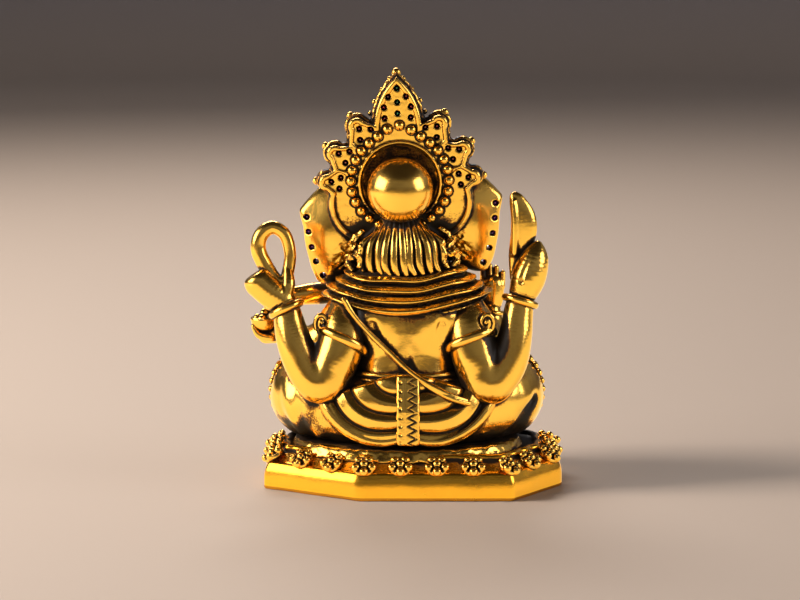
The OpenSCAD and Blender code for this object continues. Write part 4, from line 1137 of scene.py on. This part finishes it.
def ring_faces(a, b, around):
    """Quads between two rings of points that start at a and b."""
    return [[a + k, b + k, b + (k + 1) % around, a + (k + 1) % around] for k in range(around)]


def sphere_mesh(rings=10, around=16):
    """Points and faces of a unit ball."""
    pts = [[0, 0, 1]]
    for i in range(1, rings):
        a = math.pi * i / rings
        pts += [[*on_circle(k, around, math.sin(a)), math.cos(a)] for k in range(around)]
    pts.append([0, 0, -1])
    faces = [[0, 1 + k, 1 + (k + 1) % around] for k in range(around)]
    for i in range(rings - 2):
        faces += ring_faces(1 + i * around, 1 + (i + 1) * around, around)
    last = 1 + (rings - 2) * around
    faces += [[len(pts) - 1, last + (k + 1) % around, last + k] for k in range(around)]
    return np.array(pts), faces


def joined(name, parts, smooth=True):
    """One mesh from [points in mm, faces, soiling] parts."""
    points, faces, soil_and_painted_shade, start = [], [], [], 0
    for pts, fcs, dirt in parts:
        points.append(pts)
        faces += [[i + start for i in f] for f in fcs]
        soil_and_painted_shade.append(np.broadcast_to(dirt, len(pts)))
        start += len(pts)
    mesh = bpy.data.meshes.new(name)
    mesh.from_pydata((np.concatenate(points) * MM).tolist(), [], faces)
    mesh.polygons.foreach_set("use_smooth", np.full(len(mesh.polygons), smooth, bool))
    set_patina_and_painted_shade(mesh, np.concatenate(soil_and_painted_shade))
    return linked(name, mesh)


def bead_piece(name, node, centres):
    """Gold balls at [x, y, z, radius] centres, antiqued on the sides that face a casting."""
    unit, faces = sphere_mesh()
    parts = []
    for x, y, z, r in centres:
        pts = unit * r + [x, y, z]
        parts.append([pts, faces, hemmed(read_room, pts, unit, ((0.8, 1),))])
    finish_piece(joined(name, parts), node)


def on_head(pts):
    return [[*head_place(q[:3]), q[3]] for q in pts]


def knee_beads(count=11, curl=7.05):
    """Two rows of beads round each knee."""
    pts = []
    for side in (-1, 1):
        for row in (0, 1):
            for n in range(count):
                a = math.radians(-20 + 106 * n / (count - 1))
                x = side * (14.3 + (curl - row * 0.1) * math.cos(a))
                pts.append([x, -3.0 - row * 1.25, 13.7 + curl * math.sin(a), 0.6])
    return pts


def necklace(count=15):
    pts = []
    for n in range(count):
        a = math.radians(-74 + 148 * n / (count - 1))
        pts.append([8.6 * math.sin(a), -1.0 - 8.7 * math.cos(a), 31.4 - 5.0 * math.cos(a), 0.55])
    return pts


def anklet_beads(count=40):
    """A ring of beads round each ankle, where they clear the seat."""
    u, v, _ = basis([0.86, 0.5, 0.1])
    pts = []
    for side in (1, -1):
        for k in range(count):
            x, y = on_circle(k, count)
            c = np.array([9.4, -11.4, 10.1]) + 3.55 * (x * u + y * v)
            if c[2] > SEAT_TOP:
                pts.append([side * c[0], c[1], c[2], 0.5])
    return pts


bead_piece("crown_bead_castings", "crown_beads", on_head(bead_points()))
bead_piece("crown_tip_castings", "crown_tips", on_head(crown_tip_points()))
bead_piece("knee_bead_castings", "knee_borders", knee_beads())
bead_piece("necklace_castings", "necklace", necklace())
bead_piece("anklet_castings", "anklets", anklet_beads())


def floret_shape(p):
    """A middle knob and five dimpled petals on a disc."""
    d = egg(p, [0, 0, 0.6], [0.66, 0.66, 0.7])
    for k in range(5):
        at = on_circle(k, 5, 1.32)
        d = np.minimum(d, smax(ball(p, [*at, 0.45], 0.66), -ball(p, [*at, 1.25], 0.36), 0.12))
    base = smax(far(p[0], p[1]) - 1.7, np.abs(p[2]) - 0.3, 0.2)
    return smin(d, base, 0.15)


def unit2(v):
    return v / np.linalg.norm(v)


def floret_places(count=22, first=0.35):
    """Places round the middle of the sloping band, each with the way out from the plinth."""
    c = np.roll(np.array(PLINTH), -1, axis=0)
    inward = [np.array([-d[1], d[0]]) for d in (unit2(c[(i + 1) % 8] - c[i]) for i in range(8))]
    mid = [c[i] + (inward[i - 1] + inward[i]) / (1 + inward[i - 1] @ inward[i]) * BAND / 2 for i in range(8)]
    lengths = [np.linalg.norm(mid[(i + 1) % 8] - mid[i]) for i in range(8)]
    starts = np.concatenate([[0], np.cumsum(lengths)])
    places = []
    for n in range(count):
        s = first + n * starts[-1] / count
        i = int(np.searchsorted(starts, s, side="right") - 1)
        at = mid[i] + unit2(mid[(i + 1) % 8] - mid[i]) * (s - starts[i])
        places.append((np.array([PLINTH_X + at[0], at[1], (SIDE_H + TOP_H) / 2 + 0.1]), -inward[i]))
    return places


def floret_parts():
    """One floret, set out square to the slope at every place."""
    low, high = np.array([-2.5, -2.5, -0.6]), np.array([2.5, 2.5, 1.7])
    pts, quads, normals = surface(floret_shape, low, high, 0.1 * FINE)
    dirt = hemmed(floret_shape, pts, normals, ((0.25, 0.5), (0.6, 0.5)))
    dirt = fade(dirt + 0.5 * fade((0.5 - pts[:, 2]) * 1.2))
    slope = math.atan((TOP_H - SIDE_H) / BAND)
    parts = []
    for at, out in floret_places():
        ex = np.array([out[0] * math.cos(slope), out[1] * math.cos(slope), -math.sin(slope)])
        ez = np.array([out[0] * math.sin(slope), out[1] * math.sin(slope), math.cos(slope)])
        turned = pts[:, :1] * ex + pts[:, 1:2] * np.cross(ez, ex) + pts[:, 2:] * ez
        parts.append([at + turned, quads.tolist(), dirt])
    return parts


finish_piece(joined("floret_castings", floret_parts()), "plinth_florets")


def cut_stone(r, point, sides=10):
    """A faceted stone with its table towards +Z."""
    levels = [(0.5 * r, 0.62), (0.82 * r, 0.5), (r, 0.25), (r, 0.05), (0.42, -0.12), (0.1, -point)]
    pts = []
    for i, (rad, z) in enumerate(levels):
        turn = math.pi / sides if i % 2 else 0
        pts += [[*on_circle(k, sides, rad, turn), z] for k in range(sides)]
    faces = [list(range(sides))]
    for i in range(len(levels) - 1):
        faces += ring_faces(i * sides, (i + 1) * sides, sides)
    faces.append([len(pts) - 1 - k for k in range(sides)])
    return np.array(pts), faces


def stone_part(at, r, point):
    """A stone facing -Y in the head's space."""
    pts, faces = cut_stone(r, point)
    world = [head_place([at[0] + a, at[1] - c, at[2] + b]) for a, b, c in pts]
    return [np.array(world), faces, 0.0]


FRONT_Y = CROWN_Y - 3.6              # the crown plate's front face
INNER_R = 8.6                        # holes this near the bun's middle take green stones


def crown_stones(green):
    parts = []
    for x, z in CROWN_HOLES:
        if green == (abs(x) < 0.5 or math.hypot(x, z) <= INNER_R):
            parts.append(stone_part([x, FRONT_Y + LEAN * z, CROWN_Z + z], 0.75, 3.0))
    return parts


def ear_stones():
    parts = []
    for side in (1, -1):
        for a, b in EAR_HOLES:
            deep = math.sqrt((EAR_R - EAR_T) ** 2 - (a - EAR_AT[0]) ** 2 - (b - EAR_AT[2]) ** 2)
            parts.append(stone_part([side * a, EAR_AT[1] + deep, b - side * EAR_LIFT], 0.68, 1.1))
    return parts


forehead = [stone_part([0, -10.1, 42.9], 0.85, 0.6)]
for name, parts, node, slot, material in (
        ("red_stone_set", crown_stones(False), "red_stones", "red_stone", RED),
        ("green_stone_set", crown_stones(True), "green_stones", "green_stone", GREEN),
        ("purple_stone_set", ear_stones(), "purple_stones", "purple_stone", PURPLE),
        ("forehead_stone_set", forehead, "forehead_stone", "red_stone", RED)):
    finish_piece(joined(name, parts, False), node, slot, material)

for node in ("base_pegs", "neck_peg", "wrist_pegs"):
    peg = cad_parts[node]
    peg.data.materials.clear()
    peg.data.materials.append(GOLD)

# ---- stage


def cyclorama(floor_r=0.85, bend_r=0.35, wall_h=0.75, around=72):
    """A round studio: a flat floor that sweeps up into a low wall on every side."""
    profile = [(0.02, 0.0), (0.15, 0.0), (0.35, 0.0)]
    for k in range(13):
        a = math.radians(90 * k / 12)
        profile.append((floor_r + bend_r * math.sin(a), bend_r * (1 - math.cos(a))))
    profile.append((floor_r + bend_r, wall_h))
    pts = [(0, 0, 0)]
    for r, z in profile:
        pts += [(*on_circle(k, around, r), z) for k in range(around)]
    faces = [(0, 1 + k, 1 + (k + 1) % around) for k in range(around)]
    for i in range(len(profile) - 1):
        faces += ring_faces(1 + i * around, 1 + (i + 1) * around, around)
    mesh = bpy.data.meshes.new("studio_floor")
    mesh.from_pydata(pts, [], faces)
    mesh.polygons.foreach_set("use_smooth", np.ones(len(faces), bool))
    mesh.materials.append(studio_cloth())
    linked("studio_floor", mesh)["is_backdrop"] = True


def height_ramp(nodes, links, output, *stops):
    """A colour ramp that runs up Z."""
    place = nodes.new("ShaderNodeTexCoord")
    split = nodes.new("ShaderNodeSeparateXYZ")
    links.new(place.outputs[output], split.inputs["Vector"])
    ramp = ramp_node(nodes, *stops)
    links.new(split.outputs["Z"], ramp.inputs["Fac"])
    return ramp.outputs["Color"]


def studio_cloth():
    """A warm floor, darker where it starts to bend, and a cool blue-grey wall."""
    mat, nodes, links, bsdf = new_material("studio_cloth")
    colour = height_ramp(nodes, links, "Object", (0.0, (0.33, 0.26, 0.21)), (0.45, (0.40, 0.44, 0.58)),
                         (0.06, (0.2, 0.18, 0.2)))
    links.new(colour, bsdf.inputs["Base Color"])
    socket(bsdf, "Roughness", 0.75)
    return mat


cyclorama()


def soft_light(name, at, target, size, power, colour):
    """An area light of a size in metres and a power in watts, aimed at a target."""
    data = bpy.data.lights.new(name, "AREA")
    data.shape = "RECTANGLE"
    data.size, data.size_y = size
    data.energy = power
    data.color = colour
    obj = linked(name, data)
    obj.location = at
    obj.rotation_euler = (Vector(target) - Vector(at)).to_track_quat("-Z", "Y").to_euler()
    obj.visible_camera = False
    return obj


key = soft_light("key", (0.42, 0.04, 0.36), (0, 0, 0.03), (0.15, 0.15), 4.6, (1.0, 0.94, 0.88))
key.visible_glossy = False
soft_light("left_box", (0.48, 0.10, 0.22), (0, 0, 0.03), (0.40, 0.28), 2.0, (1.0, 0.98, 0.94))
soft_light("right_box", (-0.48, 0.12, 0.22), (0, 0, 0.03), (0.30, 0.28), 1.0, (0.97, 0.97, 1.0))
soft_light("rim", (0.10, -0.40, 0.36), (0, 0, 0.04), (0.34, 0.12), 1.8, (1.0, 0.95, 0.9))
bounce = soft_light("bounce", (0, 0.001, 0.0005), (0, 0.001, 1), (1.7, 1.7), 4.7, (1.0, 0.92, 0.5))
bounce.data.shape = "DISK"
world = bpy.data.worlds.new("studio")
bpy.context.scene.world = world
world.use_nodes = True
tree = world.node_tree
sky = height_ramp(tree.nodes, tree.links, "Generated", (0.35, (0.42, 0.42, 0.46)),
                  (0.72, (0.03, 0.027, 0.03)))
tree.links.new(sky, tree.nodes["Background"].inputs["Color"])
socket(tree.nodes["Background"], "Strength", 0.9)
bpy.context.scene.view_settings.view_transform = "Standard"

# ---- camera

LOOK_AT, RANGE_MM, RISE, FOCAL = np.array([1.09, 0.0, 28.5]), 420.0, math.radians(9.0), 120.96
eye = LOOK_AT + RANGE_MM * np.array([0, math.cos(RISE), math.sin(RISE)])
cam_data = bpy.data.cameras.new("camera")
cam_data.lens = FOCAL
cam_data.sensor_width = 36
cam_data.clip_start = 0.01
cam = linked("camera", cam_data)
cam.location = Vector(eye * MM)
cam.rotation_euler = (Vector(LOOK_AT * MM) - cam.location).to_track_quat("-Z", "Y").to_euler()
bpy.context.scene.camera = cam

box_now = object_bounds()
plain_list = lambda b: [[float(v) for v in row] for row in b]
{"cad": plain_list(cad_box), "visual": plain_list(box_now)}
